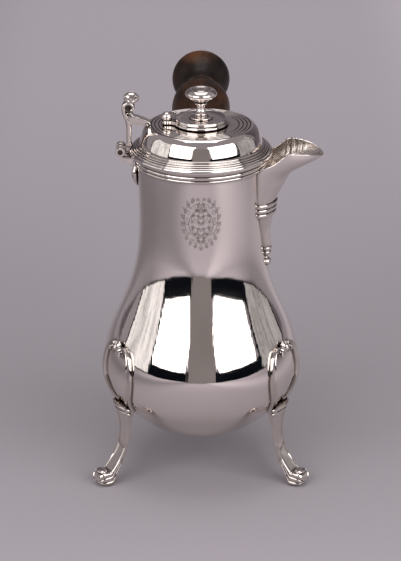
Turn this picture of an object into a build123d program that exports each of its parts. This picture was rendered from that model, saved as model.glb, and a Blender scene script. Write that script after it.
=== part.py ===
# A silver chocolate pot on three scroll feet, with a turned wooden side handle,
# a beak spout, and a hinged lid whose small swivelling cover carries the finial
# and closes the hole for the stirring rod.
#
# Millimetres. +Z is up, the table is z = 0 and the pot's axis is the Z axis.
# +X points towards the spout, -X towards the lid hinge and +Y along the handle.
from build123d import *
from math import cos, radians, sin, sqrt
import os

# ---------------------------------------------------------------- driving sizes
# pear-shaped body, outside
bottom_height = 22.5        # lowest point of the bowl above the table
belly_radius = 63.4
belly_height = 68.5
neck_radius = 39.8
neck_height = 172.0
mouth_radius = 40.5
mouth_height = 216.0
body_wall = 1.2

# reeded collar under the mouth
collar_depth = 6.2          # height of the collar below the mouth
collar_reach = 2.0          # how far its reeds stand out of the neck

# lid
lid_gap = 0.3               # air between the closed lid and the mouth
lid_rim_radius = 45.4
lid_rim_height = 3.6
lid_wall = 1.2
dome_foot_radius = 40.0
dome_rise = 15.6            # from the top of the rim to the flat top of the lid
plateau_radius = 33.0
bezel_depth = 8.0           # how far the inner ring reaches down into the mouth
bezel_wall = 1.2
bezel_clearance = 1.6       # radial air that lets the ring swing out of the mouth

# stirring-rod hole and the swivelling cover over it
stirrer_hole_radius = 7.0
hole_collar_wall = 1.0
hole_collar_drop = 3.0      # below the lid's underside
cover_clearance = 0.4       # air under the cover
cover_radius = 17.3
cover_height = 4.4
swivel_offset = 21.6        # from the pot's axis to the swivel pin
swivel_pin_radius = 1.7
pin_running_clearance = 0.05
ear_height = 2.2
swivel_ball_radius = 3.4

# finial
finial_foot_radius = 7.2
finial_stem_radius = 2.8
finial_stem_height = 11.2
knob_radius = 10.0
knob_height = 8.2
spigot_radius = 1.5         # the finial's foot is riveted through the cover

# hinge at the left of the mouth
hinge_offset = 51.0         # from the pot's axis to the hinge pin
hinge_height = 218.8
hinge_barrel_radius = 3.1
hinge_pin_radius = 1.2
hinge_width = 15.0
hinge_knuckle_gap = 0.3
hinge_leaf_thickness = 2.0

# thumbpiece on the lid, beside the hinge
thumb_width = 7.0
thumb_offset = 45.6         # from the pot's axis to the strap's middle
thumb_strap = 3.0
thumb_roll_radius = 3.6
thumb_ball_radius = 4.7

# beak spout
spout_turn = 4.0            # degrees that the spout stands off the hinge line
spout_wall = 1.1
spout_reach = 79.0          # from the pot's axis to the tip
throat_reach = 46.8         # from the pot's axis to the keel at the band
spout_half_width = 18.6
spout_floor = 180.0         # height of the closed lower end inside
reed_radius = 0.9
reed_bottom = 209.0         # height where the upright reeds end

# band, tail and drop under the spout
band_top = 187.0
band_height = 9.6
band_reach = 1.3
tail_length = 23.0
drop_length = 16.0
drop_radius = 3.2

# feet
foot_azimuths = {"left": 210.0, "right": 330.0, "rear": 90.0}
shield_bottom = 54.0
shield_top = 97.5
shield_half_width = 18.7
shield_foot_half_width = 10.5
strap_width = 5.2
strap_height = 2.6
panel_height = 0.9
volute_radius = 3.0
volute_offset = 6.3         # from the foot's middle to the volute's eye
palmette_reach = 4.2        # from its root to the middle of a lobe
leg_reach = 80.0            # from the pot's axis to the toe
leg_half_width = 9.6        # at the top
ankle_half_width = 5.2
toe_half_width = 5.9

# turned wooden handle
handle_height = 186.4       # where its axis meets the body
handle_tilt = 6.5           # degrees upwards
handle_length = 174.0       # along its axis, from the body to the end
grip_radius = 20.2
knob_end_radius = 20.6
socket_length = 31.0
socket_radius = 11.4
socket_bore = 9.2
tenon_clearance = 0.05
rivet_radius = 1.2
plate_radius = 17.0
plate_height = 1.2

os.makedirs("parts", exist_ok=True)


def write(part, name):
    """Label a finished piece and write it as its own file."""
    part.label = name
    export_step(part, "parts/" + name + ".step")


# ------------------------------------------------------------------- pear shape
belly_lift = belly_height - bottom_height
neck_lift = neck_height - belly_height
shoulder_fall = belly_radius - neck_radius
pear_points = [
    (0, bottom_height),
    (0.242 * belly_radius, bottom_height + 0.047 * belly_lift),
    (0.483 * belly_radius, bottom_height + 0.180 * belly_lift),
    (0.695 * belly_radius, bottom_height + 0.380 * belly_lift),
    (0.860 * belly_radius, bottom_height + 0.616 * belly_lift),
    (0.964 * belly_radius, bottom_height + 0.845 * belly_lift),
    (belly_radius, belly_height),
    (neck_radius + 0.90 * shoulder_fall, belly_height + 0.227 * neck_lift),
    (neck_radius + 0.39 * shoulder_fall, belly_height + 0.507 * neck_lift),
    (neck_radius + 0.068 * shoulder_fall, belly_height + 0.778 * neck_lift),
    (neck_radius, neck_height),
    (mouth_radius, mouth_height),
]
pear_line = Spline(*pear_points, tangents=[(1, 0), (0, 1)])
outline_steps = 11
turning_side = Plane(origin=(0, 0, 0), x_dir=(0, -1, 0), z_dir=(-1, 0, 0))


def pear_side(grow):
    """The pear's side line, moved outwards by grow (inwards if negative)."""
    points = []
    for step in range(outline_steps + 1):
        place = pear_line @ (step / outline_steps)
        along = pear_line % (step / outline_steps)
        points.append((place.X + grow * along.Y, place.Y - grow * along.X))
    return points


def pear_radius(height):
    """The body's outside radius at a height above the belly's underside."""
    low, high = 0.0, 1.0
    for halving in range(40):
        middle = (low + high) / 2
        if (pear_line @ middle).Y < height:
            low = middle
        else:
            high = middle
    return (pear_line @ low).X


def pear_solid(grow):
    """The filled pear, grown by a layer, used to seat what is applied to it."""
    with BuildPart() as filled:
        with BuildSketch(turning_side):
            with BuildLine():
                side = Spline(*pear_side(grow), tangents=[(1, 0), (0, 1)])
                Line(side @ 1, (0, (side @ 1).Y))
                Line((0, (side @ 1).Y), side @ 0)
            make_face()
        revolve(axis=Axis.Z)
    return filled.part


body_solid = pear_solid(0)

# ------------------------------------------------------- turned planes and axes
turn = radians(spout_turn)
spout_way = (cos(turn), -sin(turn), 0)
spout_side = Plane(origin=(0, 0, 0), x_dir=spout_way, z_dir=(-sin(turn), -cos(turn), 0))
spout_top = Plane(origin=(0, 0, 0), x_dir=spout_way, z_dir=(0, 0, 1))
spout_front = Plane(origin=(0, 0, 0), x_dir=(sin(turn), cos(turn), 0), z_dir=spout_way)
tilt = radians(handle_tilt)
handle_root = (0, pear_radius(handle_height), handle_height)
handle_side = Plane(origin=handle_root, x_dir=(0, cos(tilt), sin(tilt)), z_dir=(1, 0, 0))
handle_axis = Axis(handle_root, (0, cos(tilt), sin(tilt)))


# ------------------------------------------------------------- body and collar
def make_body_shell():
    """The raised pear, open at the mouth, pierced behind the spout."""
    pouring_width = spout_half_width
    pouring_low = spout_floor + 9
    pouring_high = mouth_height - collar_depth - 2
    with BuildPart() as shell:
        with BuildSketch(turning_side):
            with BuildLine():
                outside = Spline(*pear_side(0), tangents=[(1, 0), (0, 1)])
                inside = Spline(*pear_side(-body_wall), tangents=[(1, 0), (0, 1)])
                Line(outside @ 1, inside @ 1)
                Line(outside @ 0, inside @ 0)
            make_face()
        revolve(axis=Axis.Z)
        with BuildSketch(spout_front.offset(neck_radius / 2)):
            with Locations((0, (pouring_low + pouring_high) / 2)):
                RectangleRounded(pouring_width, pouring_high - pouring_low, pouring_width * 0.4)
        extrude(amount=neck_radius, mode=Mode.SUBTRACT)
    return shell.part


def make_body_collar():
    """Two reeds and a fillet strip soldered round the neck under the mouth."""
    low = mouth_height - collar_depth
    inner = mouth_radius
    outer = mouth_radius + collar_reach
    step = collar_depth / 3
    with BuildPart() as collar:
        with BuildSketch(turning_side):
            with BuildLine():
                Line((inner - 1, mouth_height), (inner - 1, low))
                Line((inner - 1, low), (outer - 1.1, low))
                ThreePointArc((outer - 1.1, low), (outer - 0.3, low + step / 2), (outer - 1.1, low + step))
                ThreePointArc((outer - 1.1, low + step), (outer, low + step * 1.6), (outer - 0.6, low + step * 2.2))
                Line((outer - 0.6, low + step * 2.2), (outer - 0.6, mouth_height))
                Line((outer - 0.6, mouth_height), (inner - 1, mouth_height))
            make_face()
        revolve(axis=Axis.Z)
        add(body_solid, mode=Mode.SUBTRACT)
    return collar.part


body_shell = make_body_shell()
body_collar = make_body_collar()
write(body_shell, "body_shell")
write(body_collar, "body_collar")

# ------------------------------------------------------------------------ spout
# Waterlines of the beak: height, reach of the keel as a share of the way from
# the throat to the tip, and half width as a share of the widest.
spout_root = 30.0
band_bottom = band_top - band_height
spout_levels = [
    (176.0, 0.0, 0.73),
    (188.0, 0.055, 0.82),
    (200.0, 0.24, 0.91),
    (208.0, 0.45, 0.97),
    (214.0, 0.81, 1.0),
    (219.0, 1.0, 1.0),
    (225.0, 1.0, 1.0),
]
beak_outline = [(0, 0.86), (0.35, 1.0), (0.6, 0.92), (0.8, 0.70), (0.94, 0.36)]


def waterline(share, width, inset):
    """One half outline of the beak seen from above, from root to keel."""
    reach = throat_reach - spout_root + share * (spout_reach - throat_reach) - inset
    half = width * spout_half_width - inset
    points = [(spout_root + along * reach, across * half) for along, across in beak_outline]
    return points + [(spout_root + reach, 0)]


def beak_outline_points(share, width, inset):
    """The whole outline of the beak seen from above, from root to root."""
    near = waterline(share, width, inset)
    return near + [(x, -y) for x, y in reversed(near[:-1])]


def beak_solid(inset, lift):
    """The filled beak through all its waterlines, inset and lifted by a wall."""
    with BuildPart() as beak:
        for height, share, width in spout_levels:
            with BuildSketch(spout_top.offset(height + lift)):
                with BuildLine():
                    edge = Spline(*beak_outline_points(share, width, inset))
                    Line(edge @ 1, edge @ 0)
                make_face()
        loft()
    return beak.part


spout_outside = beak_solid(0, 0)
spout_inside = beak_solid(spout_wall, spout_wall)
rim_points = [
    (spout_root - 4, 211.0), (37, 211.4), (45, 214.0), (50, 217.3), (54, 220.6), (58, 221.9),
    (62, 221.6), (70, 220.3), (74, 219.0), (77, 217.8), (spout_reach + 2, 216.2),
]


def make_spout_hollow():
    """The beak's inside, closed below at the spout's floor."""
    with BuildPart() as hollow:
        with BuildSketch(Plane.XY.offset(spout_floor)):
            Circle(2 * spout_reach)
        extrude(amount=mouth_height)
        add(spout_inside, mode=Mode.INTERSECT)
    return hollow.part


spout_hollow = make_spout_hollow()
reed_places = [(54.5, 0.7), (58.3, 1.3), (62.0, 0.8), (65.5, 0.7)]


def make_spout_reeds():
    """Upright reeds on the inner faces of the beak, below its highest point."""
    with BuildPart() as reeds:
        for reach, share in reed_places:
            with BuildSketch(spout_side):
                with Locations((reach, reed_bottom + mouth_height / 2)):
                    Rectangle(2 * reed_radius * share, mouth_height)
            extrude(amount=2 * spout_half_width, both=True)
        add(spout_outside, mode=Mode.INTERSECT)
        add(beak_solid(spout_wall + reed_radius, spout_wall), mode=Mode.SUBTRACT)
    return reeds.part


def make_spout_shell():
    """The open beak: a thin wall with a shaped rim and reeds inside it."""
    reeds = make_spout_reeds()
    with BuildPart() as spout:
        add(spout_outside)
        add(spout_hollow, mode=Mode.SUBTRACT)
        add(reeds)
        with BuildSketch(spout_side):
            with BuildLine():
                rim = Spline(*rim_points)
                Polyline(rim @ 1, ((rim @ 1).X, 2 * mouth_height), ((rim @ 0).X, 2 * mouth_height), rim @ 0)
            make_face()
        extrude(amount=2 * spout_half_width, both=True, mode=Mode.SUBTRACT)
        with BuildSketch(Plane.XY.offset(spout_levels[0][0] - 1)):
            Circle(2 * spout_reach)
        extrude(amount=band_bottom - spout_levels[0][0] + 1, mode=Mode.SUBTRACT)
        add(body_solid, mode=Mode.SUBTRACT)
        add(body_collar, mode=Mode.SUBTRACT)
    return spout.part


def make_spout_band():
    """Three reeds round the throat of the spout."""
    reed_height = band_height / 3
    lowest, above = spout_levels[0], spout_levels[1]
    with BuildPart() as band:
        for reed in range(3):
            rise = (band_bottom - lowest[0] + (reed + 0.5) * reed_height) / (above[0] - lowest[0])
            share = lowest[1] + (above[1] - lowest[1]) * rise
            width = lowest[2] + (above[2] - lowest[2]) * rise
            with BuildSketch(spout_top.offset(band_bottom + reed * reed_height)):
                with BuildLine():
                    edge = Spline(*beak_outline_points(share, width, -band_reach))
                    Line(edge @ 1, edge @ 0)
                make_face()
            extrude(amount=reed_height)
            tips = band.edges().filter_by(GeomType.BSPLINE).group_by(Axis.Z)[-1]
            fillet(tips, 0.45 * reed_height)
        add(spout_outside, mode=Mode.SUBTRACT)
        add(body_solid, mode=Mode.SUBTRACT)
    return band.part


def make_spout_tail():
    """The tapering tail that carries the band's line down the body."""
    top = band_bottom
    low = top - tail_length
    width = spout_levels[0][2] * spout_half_width
    nose = throat_reach
    with BuildPart() as tail:
        for height, reach, half in (
            (top, nose - 0.3, width * 0.86),
            (top - 0.45 * tail_length, nose - 1.9, width * 0.62),
            (low, pear_radius(low) + 2.9, drop_radius + 0.9),
        ):
            with BuildSketch(spout_top.offset(height)):
                with BuildLine():
                    nose_line = Spline((spout_root, half), (0.5 * (spout_root + reach) + 2, half),
                                       (reach - 1.6, 0.55 * half), (reach, 0),
                                       (reach - 1.6, -0.55 * half),
                                       (0.5 * (spout_root + reach) + 2, -half), (spout_root, -half))
                    Line(nose_line @ 1, nose_line @ 0)
                make_face()
        loft()
        add(body_solid, mode=Mode.SUBTRACT)
    return tail.part


def make_spout_drop():
    """Rings, a ball and a tip that end the tail, half sunk in the body's side."""
    top = band_bottom - tail_length
    centre = pear_radius(top) + 0.9
    with BuildPart() as drop:
        with BuildSketch(spout_side):
            with BuildLine():
                Line((centre, top), (centre + drop_radius + 0.4, top))
                ThreePointArc((centre + drop_radius + 0.4, top), (centre + drop_radius + 1.1, top - 1.5),
                              (centre + drop_radius + 0.2, top - 3.0))
                ThreePointArc((centre + drop_radius + 0.2, top - 3.0), (centre + drop_radius + 0.8, top - 4.3),
                              (centre + drop_radius - 0.2, top - 5.6))
                ThreePointArc((centre + drop_radius - 0.2, top - 5.6), (centre + 1.9, top - 6.6),
                              (centre + 2.2, top - 8.0))
                ThreePointArc((centre + 2.2, top - 8.0), (centre + drop_radius + 0.3, top - 10.2),
                              (centre + 1.8, top - 12.6))
                Polyline((centre + 1.8, top - 12.6), (centre + 0.8, top - drop_length),
                         (centre, top - drop_length), (centre, top))
            make_face()
        revolve(axis=Axis((centre * cos(turn), -centre * sin(turn), 0), (0, 0, 1)))
        add(body_solid, mode=Mode.SUBTRACT)
    return drop.part


write(make_spout_shell(), "spout_shell")
write(make_spout_band(), "spout_band")
write(make_spout_tail(), "spout_tail")
write(make_spout_drop(), "spout_drop")

# ------------------------------------------------------------------------- feet
leg_top = shield_bottom - 2.0
leg_root = pear_radius(leg_top)
toe_height = 10.6
foot_front = Plane.YZ
sole_start = leg_reach - 10.4
sole_end = leg_reach - 3.4


def make_foot_leg():
    """One scroll leg at azimuth 0, with its two reeds and a rounded toe pad."""
    with BuildPart() as leg:
        with BuildSketch(Plane.XZ):
            with BuildLine():
                front = Spline((leg_root + 6.4, leg_top + 1.0), (leg_root + 4.3, 45.5), (leg_root + 3.5, 38),
                               (leg_root + 3.8, 31), (leg_root + 5.1, 25), (leg_root + 7.7, 19.4),
                               (leg_root + 11.6, 13.4), (leg_reach - 9.0, toe_height - 1.0),
                               (leg_reach - 5.0, toe_height - 0.2), (leg_reach - 1.4, toe_height - 2.2),
                               (leg_reach, 4.8), (sole_end, 0))
                sole = Line(front @ 1, (sole_start, 0))
                back = Spline(sole @ 1, (leg_root + 11.6, 5.2), (leg_root + 7.8, 12.1), (leg_root + 5.3, 17.6),
                              (leg_root + 3.2, 23.6), (leg_root + 1.7, 29.4), (leg_root + 0.8, 36),
                              (leg_root + 0.4, 43), (leg_root - 3.0, leg_top + 1.0))
                Line(back @ 1, front @ 0)
            make_face()
        extrude(amount=leg_half_width, both=True)
        with BuildSketch(foot_front):
            with BuildLine():
                side = Spline((leg_half_width, leg_top + 1.0), (0.80 * leg_half_width, 47.5),
                              (ankle_half_width + 0.6, 42), (ankle_half_width, 36), (ankle_half_width, 22),
                              (ankle_half_width + 0.3, 12), (toe_half_width, 5),
                              (toe_half_width - 0.6, 0), tangents=[(0, -1), (-0.2, -1)])
                Line(side @ 0, (0, (side @ 0).Y))
                Line((0, (side @ 0).Y), (0, 0))
                Line((0, 0), side @ 1)
            make_face()
            mirror(about=Plane.YZ)
        extrude(amount=2 * leg_reach, mode=Mode.INTERSECT)
        with BuildSketch(Plane.XY):
            with BuildLine():
                nose = Spline((leg_reach - 9, leg_half_width + 1), (leg_reach - 6.2, toe_half_width + 0.3),
                              (leg_reach - 2.2, 0.68 * toe_half_width), (leg_reach, 0),
                              tangents=[(0.2, -1), (0, -1)])
                Polyline(nose @ 1, (0, 0), (0, leg_half_width + 1), nose @ 0)
            make_face()
            mirror(about=Plane.XZ)
        extrude(amount=shield_bottom, mode=Mode.INTERSECT)
        for reed in (0, 1):
            with BuildSketch(Plane.XZ.offset(leg_half_width + 0.6)):
                with Locations((leg_root + 5.0 + 0.8 * reed, leg_top - 2.0 + 3.2 * reed)):
                    Circle(1.5)
            extrude(amount=-2 * (leg_half_width + 0.6))
        add(body_solid, mode=Mode.SUBTRACT)
    return leg.part


shield_seat = pear_solid(panel_height)
strap_seat = pear_solid(strap_height)
volute_seat = pear_solid(strap_height + 1.2)
palmette_seat = pear_solid(strap_height + 0.4)


def shield_outline(inset):
    """One side of the shield's outline, moved towards its middle by inset."""
    half, rise = shield_half_width - inset, shield_top - shield_bottom
    return Spline((shield_foot_half_width - inset, shield_bottom),
                  (0.77 * shield_half_width - inset, shield_bottom + 0.15 * rise),
                  (0.945 * shield_half_width - inset, shield_bottom + 0.32 * rise),
                  (half, shield_bottom + 0.51 * rise),
                  (half - 0.6, shield_bottom + 0.68 * rise),
                  (0.86 * shield_half_width - 0.9 * inset, shield_bottom + 0.83 * rise - 0.1 * inset),
                  (volute_offset + 0.9 * volute_radius, shield_top - 1.5 - 0.62 * inset),
                  (volute_offset - 1.0, shield_top - 0.3 - 0.8 * inset))


def make_foot_shield():
    """The plain panel over one leg, framed by two straps that end in volutes."""
    with BuildPart() as panel:
        with BuildSketch(foot_front):
            with BuildLine():
                outer = shield_outline(0)
                Line(outer @ 1, (0, shield_top - 4))
                Line((0, shield_top - 4), (0, shield_bottom))
                Line((0, shield_bottom), outer @ 0)
            make_face()
            mirror(about=Plane.YZ)
        extrude(amount=2 * belly_radius)
        add(shield_seat, mode=Mode.INTERSECT)
    with BuildPart() as straps:
        with BuildSketch(foot_front):
            with BuildLine():
                rim = shield_outline(0)
                inner = shield_outline(strap_width)
                Line(rim @ 1, inner @ 1)
                Line(inner @ 0, rim @ 0)
            make_face()
            mirror(about=Plane.YZ)
        extrude(amount=2 * belly_radius)
        add(strap_seat, mode=Mode.INTERSECT)
    with BuildPart() as volutes:
        with BuildSketch(foot_front):
            with Locations((volute_offset, shield_top - 3.3), (-volute_offset, shield_top - 3.3)):
                Circle(volute_radius)
        extrude(amount=2 * belly_radius)
        add(volute_seat, mode=Mode.INTERSECT)
    with BuildPart() as shield:
        add(panel.part)
        add(straps.part)
        add(volutes.part)
        add(body_solid, mode=Mode.SUBTRACT)
    return shield.part


def make_foot_palmette(shield):
    """A small fan of lobes that rises between the two volutes."""
    with BuildPart() as fan:
        with BuildSketch(foot_front):
            for lobe in range(-2, 3):
                lean = radians(32 * lobe)
                with Locations((palmette_reach * sin(lean), shield_top - 3.2 + palmette_reach * cos(lean))):
                    Circle(1.7)
            with Locations((0, shield_top - 2.6)):
                Circle(0.75 * palmette_reach)
        extrude(amount=2 * belly_radius)
        add(palmette_seat, mode=Mode.INTERSECT)
        add(body_solid, mode=Mode.SUBTRACT)
        add(shield, mode=Mode.SUBTRACT)
    return fan.part


foot_leg = make_foot_leg()
foot_shield = make_foot_shield()
foot_palmette = make_foot_palmette(foot_shield)
for side, azimuth in foot_azimuths.items():
    write(foot_leg.rotate(Axis.Z, azimuth), "foot_leg_" + side)
    write(foot_shield.rotate(Axis.Z, azimuth), "foot_shield_" + side)
    write(foot_palmette.rotate(Axis.Z, azimuth), "foot_palmette_" + side)


# ----------------------------------------------------------------------- handle
def make_handle_plate():
    """The round plate that spreads the handle's pull over the neck."""
    with BuildPart() as plate:
        with BuildSketch(Plane.XZ):
            with Locations((0, handle_height)):
                Circle(plate_radius)
        extrude(amount=-2 * neck_radius)
        add(pear_solid(plate_height), mode=Mode.INTERSECT)
        add(body_solid, mode=Mode.SUBTRACT)
    return plate.part


def make_handle_rivet():
    """The cross pin through the socket and the handle's tenon."""
    with BuildPart() as rivet:
        with BuildSketch(handle_side.offset(-socket_radius - 0.4)):
            with Locations((0.6 * socket_length, 0)):
                Circle(rivet_radius)
        extrude(amount=2 * (socket_radius + 0.4))
    return rivet.part


handle_plate = make_handle_plate()
handle_rivet = make_handle_rivet()
socket_blind = 9.0          # the socket's closed end against the neck


def make_handle_socket():
    """The tapered silver socket with a ring at each end."""
    with BuildPart() as socket:
        with BuildSketch(handle_side):
            with BuildLine():
                Line((-1, 0), (-1, socket_radius + 1.6))
                Line((-1, socket_radius + 1.6), (1.6, socket_radius + 1.6))
                throat = Spline((1.6, socket_radius + 1.6), (6.0, socket_radius - 0.9),
                                (socket_length - 8, socket_radius - 0.6), (socket_length - 4, socket_radius))
                ThreePointArc(throat @ 1, (socket_length - 2, socket_radius + 1.4),
                              (socket_length, socket_radius))
                Line((socket_length, socket_radius), (socket_length, socket_bore))
                Line((socket_length, socket_bore), (socket_blind, socket_bore))
                Line((socket_blind, socket_bore), (socket_blind, 0))
                Line((socket_blind, 0), (-1, 0))
            make_face()
        revolve(axis=handle_axis)
        add(body_solid, mode=Mode.SUBTRACT)
        add(handle_plate, mode=Mode.SUBTRACT)
        add(handle_rivet, mode=Mode.SUBTRACT)
    return socket.part


def make_handle_grip():
    """The turned wooden grip: a tenon, a swelling, a neck and a knob."""
    start = socket_length + tenon_clearance
    swell = 0.63 * handle_length
    waist = 0.775 * handle_length
    knob = 0.915 * handle_length
    tenon = socket_bore - tenon_clearance
    with BuildPart() as grip:
        with BuildSketch(handle_side):
            with BuildLine():
                Line((socket_blind + 0.3, 0), (socket_blind + 0.3, tenon))
                Line((socket_blind + 0.3, tenon), (start, tenon))
                Line((start, tenon), (start, socket_radius - 0.2))
                neck = Spline((start, socket_radius - 0.2), (start + 11, 0.47 * grip_radius),
                              (0.43 * handle_length, 0.66 * grip_radius), (swell, grip_radius),
                              (waist, 0.62 * grip_radius), tangents=[(0.6, -0.4), (1, -0.1)])
                cove = Spline(neck @ 1, (waist + 0.06 * handle_length, 0.70 * grip_radius),
                              (knob - 6.5, knob_end_radius - 1.5), (knob, knob_end_radius),
                              (knob + 7.0, 0.86 * knob_end_radius), (handle_length, 0),
                              tangents=[(1, 0.1), (0, -1)])
                Line(cove @ 1, (socket_blind + 0.3, 0))
            make_face()
        revolve(axis=handle_axis)
        add(handle_rivet, mode=Mode.SUBTRACT)
    return grip.part


write(handle_plate, "handle_plate")
write(make_handle_socket(), "handle_socket")
write(make_handle_grip(), "handle_grip")
write(handle_rivet, "handle_rivet")

# -------------------------------------------------------------------------- lid
lid_seat = mouth_height + lid_gap
rim_top = lid_seat + lid_rim_height
plateau_height = rim_top + dome_rise
bezel_radius = mouth_radius - body_wall - bezel_clearance
rim_step = lid_rim_radius - dome_foot_radius


def make_lid_rim():
    """The moulded ring round the lid's edge: a bead and two steps up to the dome."""
    with BuildPart() as rim:
        with BuildSketch(Plane.XZ):
            with BuildLine():
                Line((bezel_radius, lid_seat), (lid_rim_radius - 0.7, lid_seat))
                ThreePointArc((lid_rim_radius - 0.7, lid_seat),
                              (lid_rim_radius, lid_seat + 0.40 * lid_rim_height),
                              (lid_rim_radius - 0.6, rim_top - 0.4))
                ThreePointArc((lid_rim_radius - 0.6, rim_top - 0.4),
                              (lid_rim_radius - 0.30 * rim_step, rim_top + 0.7),
                              (lid_rim_radius - 0.50 * rim_step, rim_top + 0.9))
                ThreePointArc((lid_rim_radius - 0.50 * rim_step, rim_top + 0.9),
                              (lid_rim_radius - 0.72 * rim_step, rim_top + 2.2),
                              (dome_foot_radius, rim_top + 2.6))
                Line((dome_foot_radius, rim_top + 2.6), (dome_foot_radius, rim_top))
                Line((dome_foot_radius, rim_top), (bezel_radius, rim_top))
                Line((bezel_radius, rim_top), (bezel_radius, lid_seat))
            make_face()
        revolve(axis=Axis.Z)
    return rim.part


def make_lid_dome():
    """The raised lid: a sloping side, a soft shoulder and a flat top with a hole."""
    foot, top = dome_foot_radius, plateau_height
    with BuildPart() as dome:
        with BuildSketch(Plane.XZ):
            with BuildLine():
                Line((foot, rim_top), (foot, rim_top + 2.6))
                side = Spline((foot, rim_top + 2.6),
                              (foot - 0.32 * (foot - plateau_radius), rim_top + 0.62 * dome_rise),
                              (plateau_radius + 1.6, top - 1.2), (plateau_radius, top - 0.5),
                              tangents=[(-0.12, 1), (-1, 0.4)])
                Line(side @ 1, (plateau_radius - 0.6, top))
                Line((plateau_radius - 0.6, top), (stirrer_hole_radius + hole_collar_wall, top))
                Line((stirrer_hole_radius + hole_collar_wall, top),
                     (stirrer_hole_radius + hole_collar_wall, top - lid_wall))
                Line((stirrer_hole_radius + hole_collar_wall, top - lid_wall),
                     (plateau_radius - 1.2, top - lid_wall))
                under = Spline((plateau_radius - 1.2, top - lid_wall),
                               (plateau_radius + 0.6, top - lid_wall - 1.2),
                               (foot - 0.32 * (foot - plateau_radius) - lid_wall, rim_top + 0.55 * dome_rise),
                               (foot - lid_wall, rim_top + 2.2), tangents=[(1, -0.5), (0.1, -1)])
                Polyline(under @ 1, (foot - lid_wall, rim_top), (foot, rim_top))
            make_face()
        revolve(axis=Axis.Z)
        with BuildSketch(Plane.XY.offset(top - 2 * lid_wall)):
            with Locations((-swivel_offset, 0)):
                Circle(swivel_pin_radius)
        extrude(amount=3 * lid_wall, mode=Mode.SUBTRACT)
    return dome.part


def make_lid_bezel():
    """The plain ring inside the lid that keeps it centred in the mouth."""
    with BuildPart() as bezel:
        with BuildSketch(Plane.XZ):
            with BuildLine():
                Polyline((bezel_radius, rim_top), (bezel_radius, lid_seat - bezel_depth),
                         (bezel_radius - bezel_wall, lid_seat - bezel_depth),
                         (bezel_radius - bezel_wall, rim_top), close=True)
            make_face()
        revolve(axis=Axis.Z)
    return bezel.part


def make_hole_collar():
    """A short tube that lines the stirring-rod hole."""
    with BuildPart() as collar:
        with BuildSketch(Plane.XY.offset(plateau_height - lid_wall - hole_collar_drop)):
            Circle(stirrer_hole_radius + hole_collar_wall)
            Circle(stirrer_hole_radius, mode=Mode.SUBTRACT)
        extrude(amount=lid_wall + hole_collar_drop)
    return collar.part


lid_rim = make_lid_rim()
write(lid_rim, "lid_rim")
lid_dome = make_lid_dome()
write(lid_dome, "lid_dome")
write(make_lid_bezel(), "lid_bezel")
write(make_hole_collar(), "stirrer_hole_collar")

# ------------------------------------------------- swivelling cover and finial
cover_low = plateau_height + cover_clearance
cover_high = cover_low + cover_height


def make_swivel_pin():
    """The ball-headed pin, riveted under the lid, that the cover turns on."""
    head_low = cover_low + ear_height + 0.3
    head_foot = 0.86 * swivel_ball_radius
    head_middle = head_low + sqrt(swivel_ball_radius ** 2 - head_foot ** 2)
    with BuildPart() as pin:
        with BuildSketch(Plane.XZ):
            with BuildLine():
                Polyline((0, plateau_height - lid_wall - 1.0), (2.6, plateau_height - lid_wall - 1.0),
                         (2.6, plateau_height - lid_wall), (swivel_pin_radius, plateau_height - lid_wall),
                         (swivel_pin_radius, head_low), (head_foot, head_low))
                ThreePointArc((head_foot, head_low), (swivel_ball_radius, head_middle),
                              (0, head_middle + swivel_ball_radius))
                Line((0, head_middle + swivel_ball_radius), (0, plateau_height - lid_wall - 1.0))
            make_face()
        revolve(axis=Axis.Z)
    return pin.part.translate((-swivel_offset, 0, 0))


def make_cover_plate():
    """The little round cover with a dished top and an ear round the pin."""
    lip = cover_radius - 0.8
    with BuildPart() as cover:
        with BuildSketch(Plane.XZ):
            with BuildLine():
                Line((0, cover_low), (cover_radius, cover_low))
                ThreePointArc((cover_radius, cover_low), (cover_radius - 0.1, cover_low + 0.6 * cover_height),
                              (lip, cover_high))
                Line((lip, cover_high), (lip - 1.0, cover_high))
                ThreePointArc((lip - 1.0, cover_high), (0.66 * cover_radius, cover_high - 1.3),
                              (finial_foot_radius, cover_high - 0.9))
                Line((finial_foot_radius, cover_high - 0.9), (0, cover_high - 0.9))
                Line((0, cover_high - 0.9), (0, cover_low))
            make_face()
        revolve(axis=Axis.Z)
        with BuildSketch(Plane.XY.offset(cover_low)):
            with Locations((-0.5 * (swivel_offset + cover_radius) + 1.0, 0)):
                Rectangle(swivel_offset - cover_radius + 2.0, 6.4)
            with Locations((-swivel_offset, 0)):
                Circle(3.2)
        extrude(amount=ear_height)
        with BuildSketch(Plane.XY.offset(cover_low - 1)):
            with Locations((-swivel_offset, 0)):
                Circle(swivel_pin_radius + pin_running_clearance)
            Circle(spigot_radius)
        extrude(amount=cover_height + 2, mode=Mode.SUBTRACT)
        with BuildSketch(Plane.XY.offset(cover_low + ear_height)):
            with Locations((-swivel_offset, 0)):
                Circle(swivel_ball_radius + 0.4)
        extrude(amount=cover_height, mode=Mode.SUBTRACT)
    return cover.part


finial_seat = cover_high - 0.9


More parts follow.
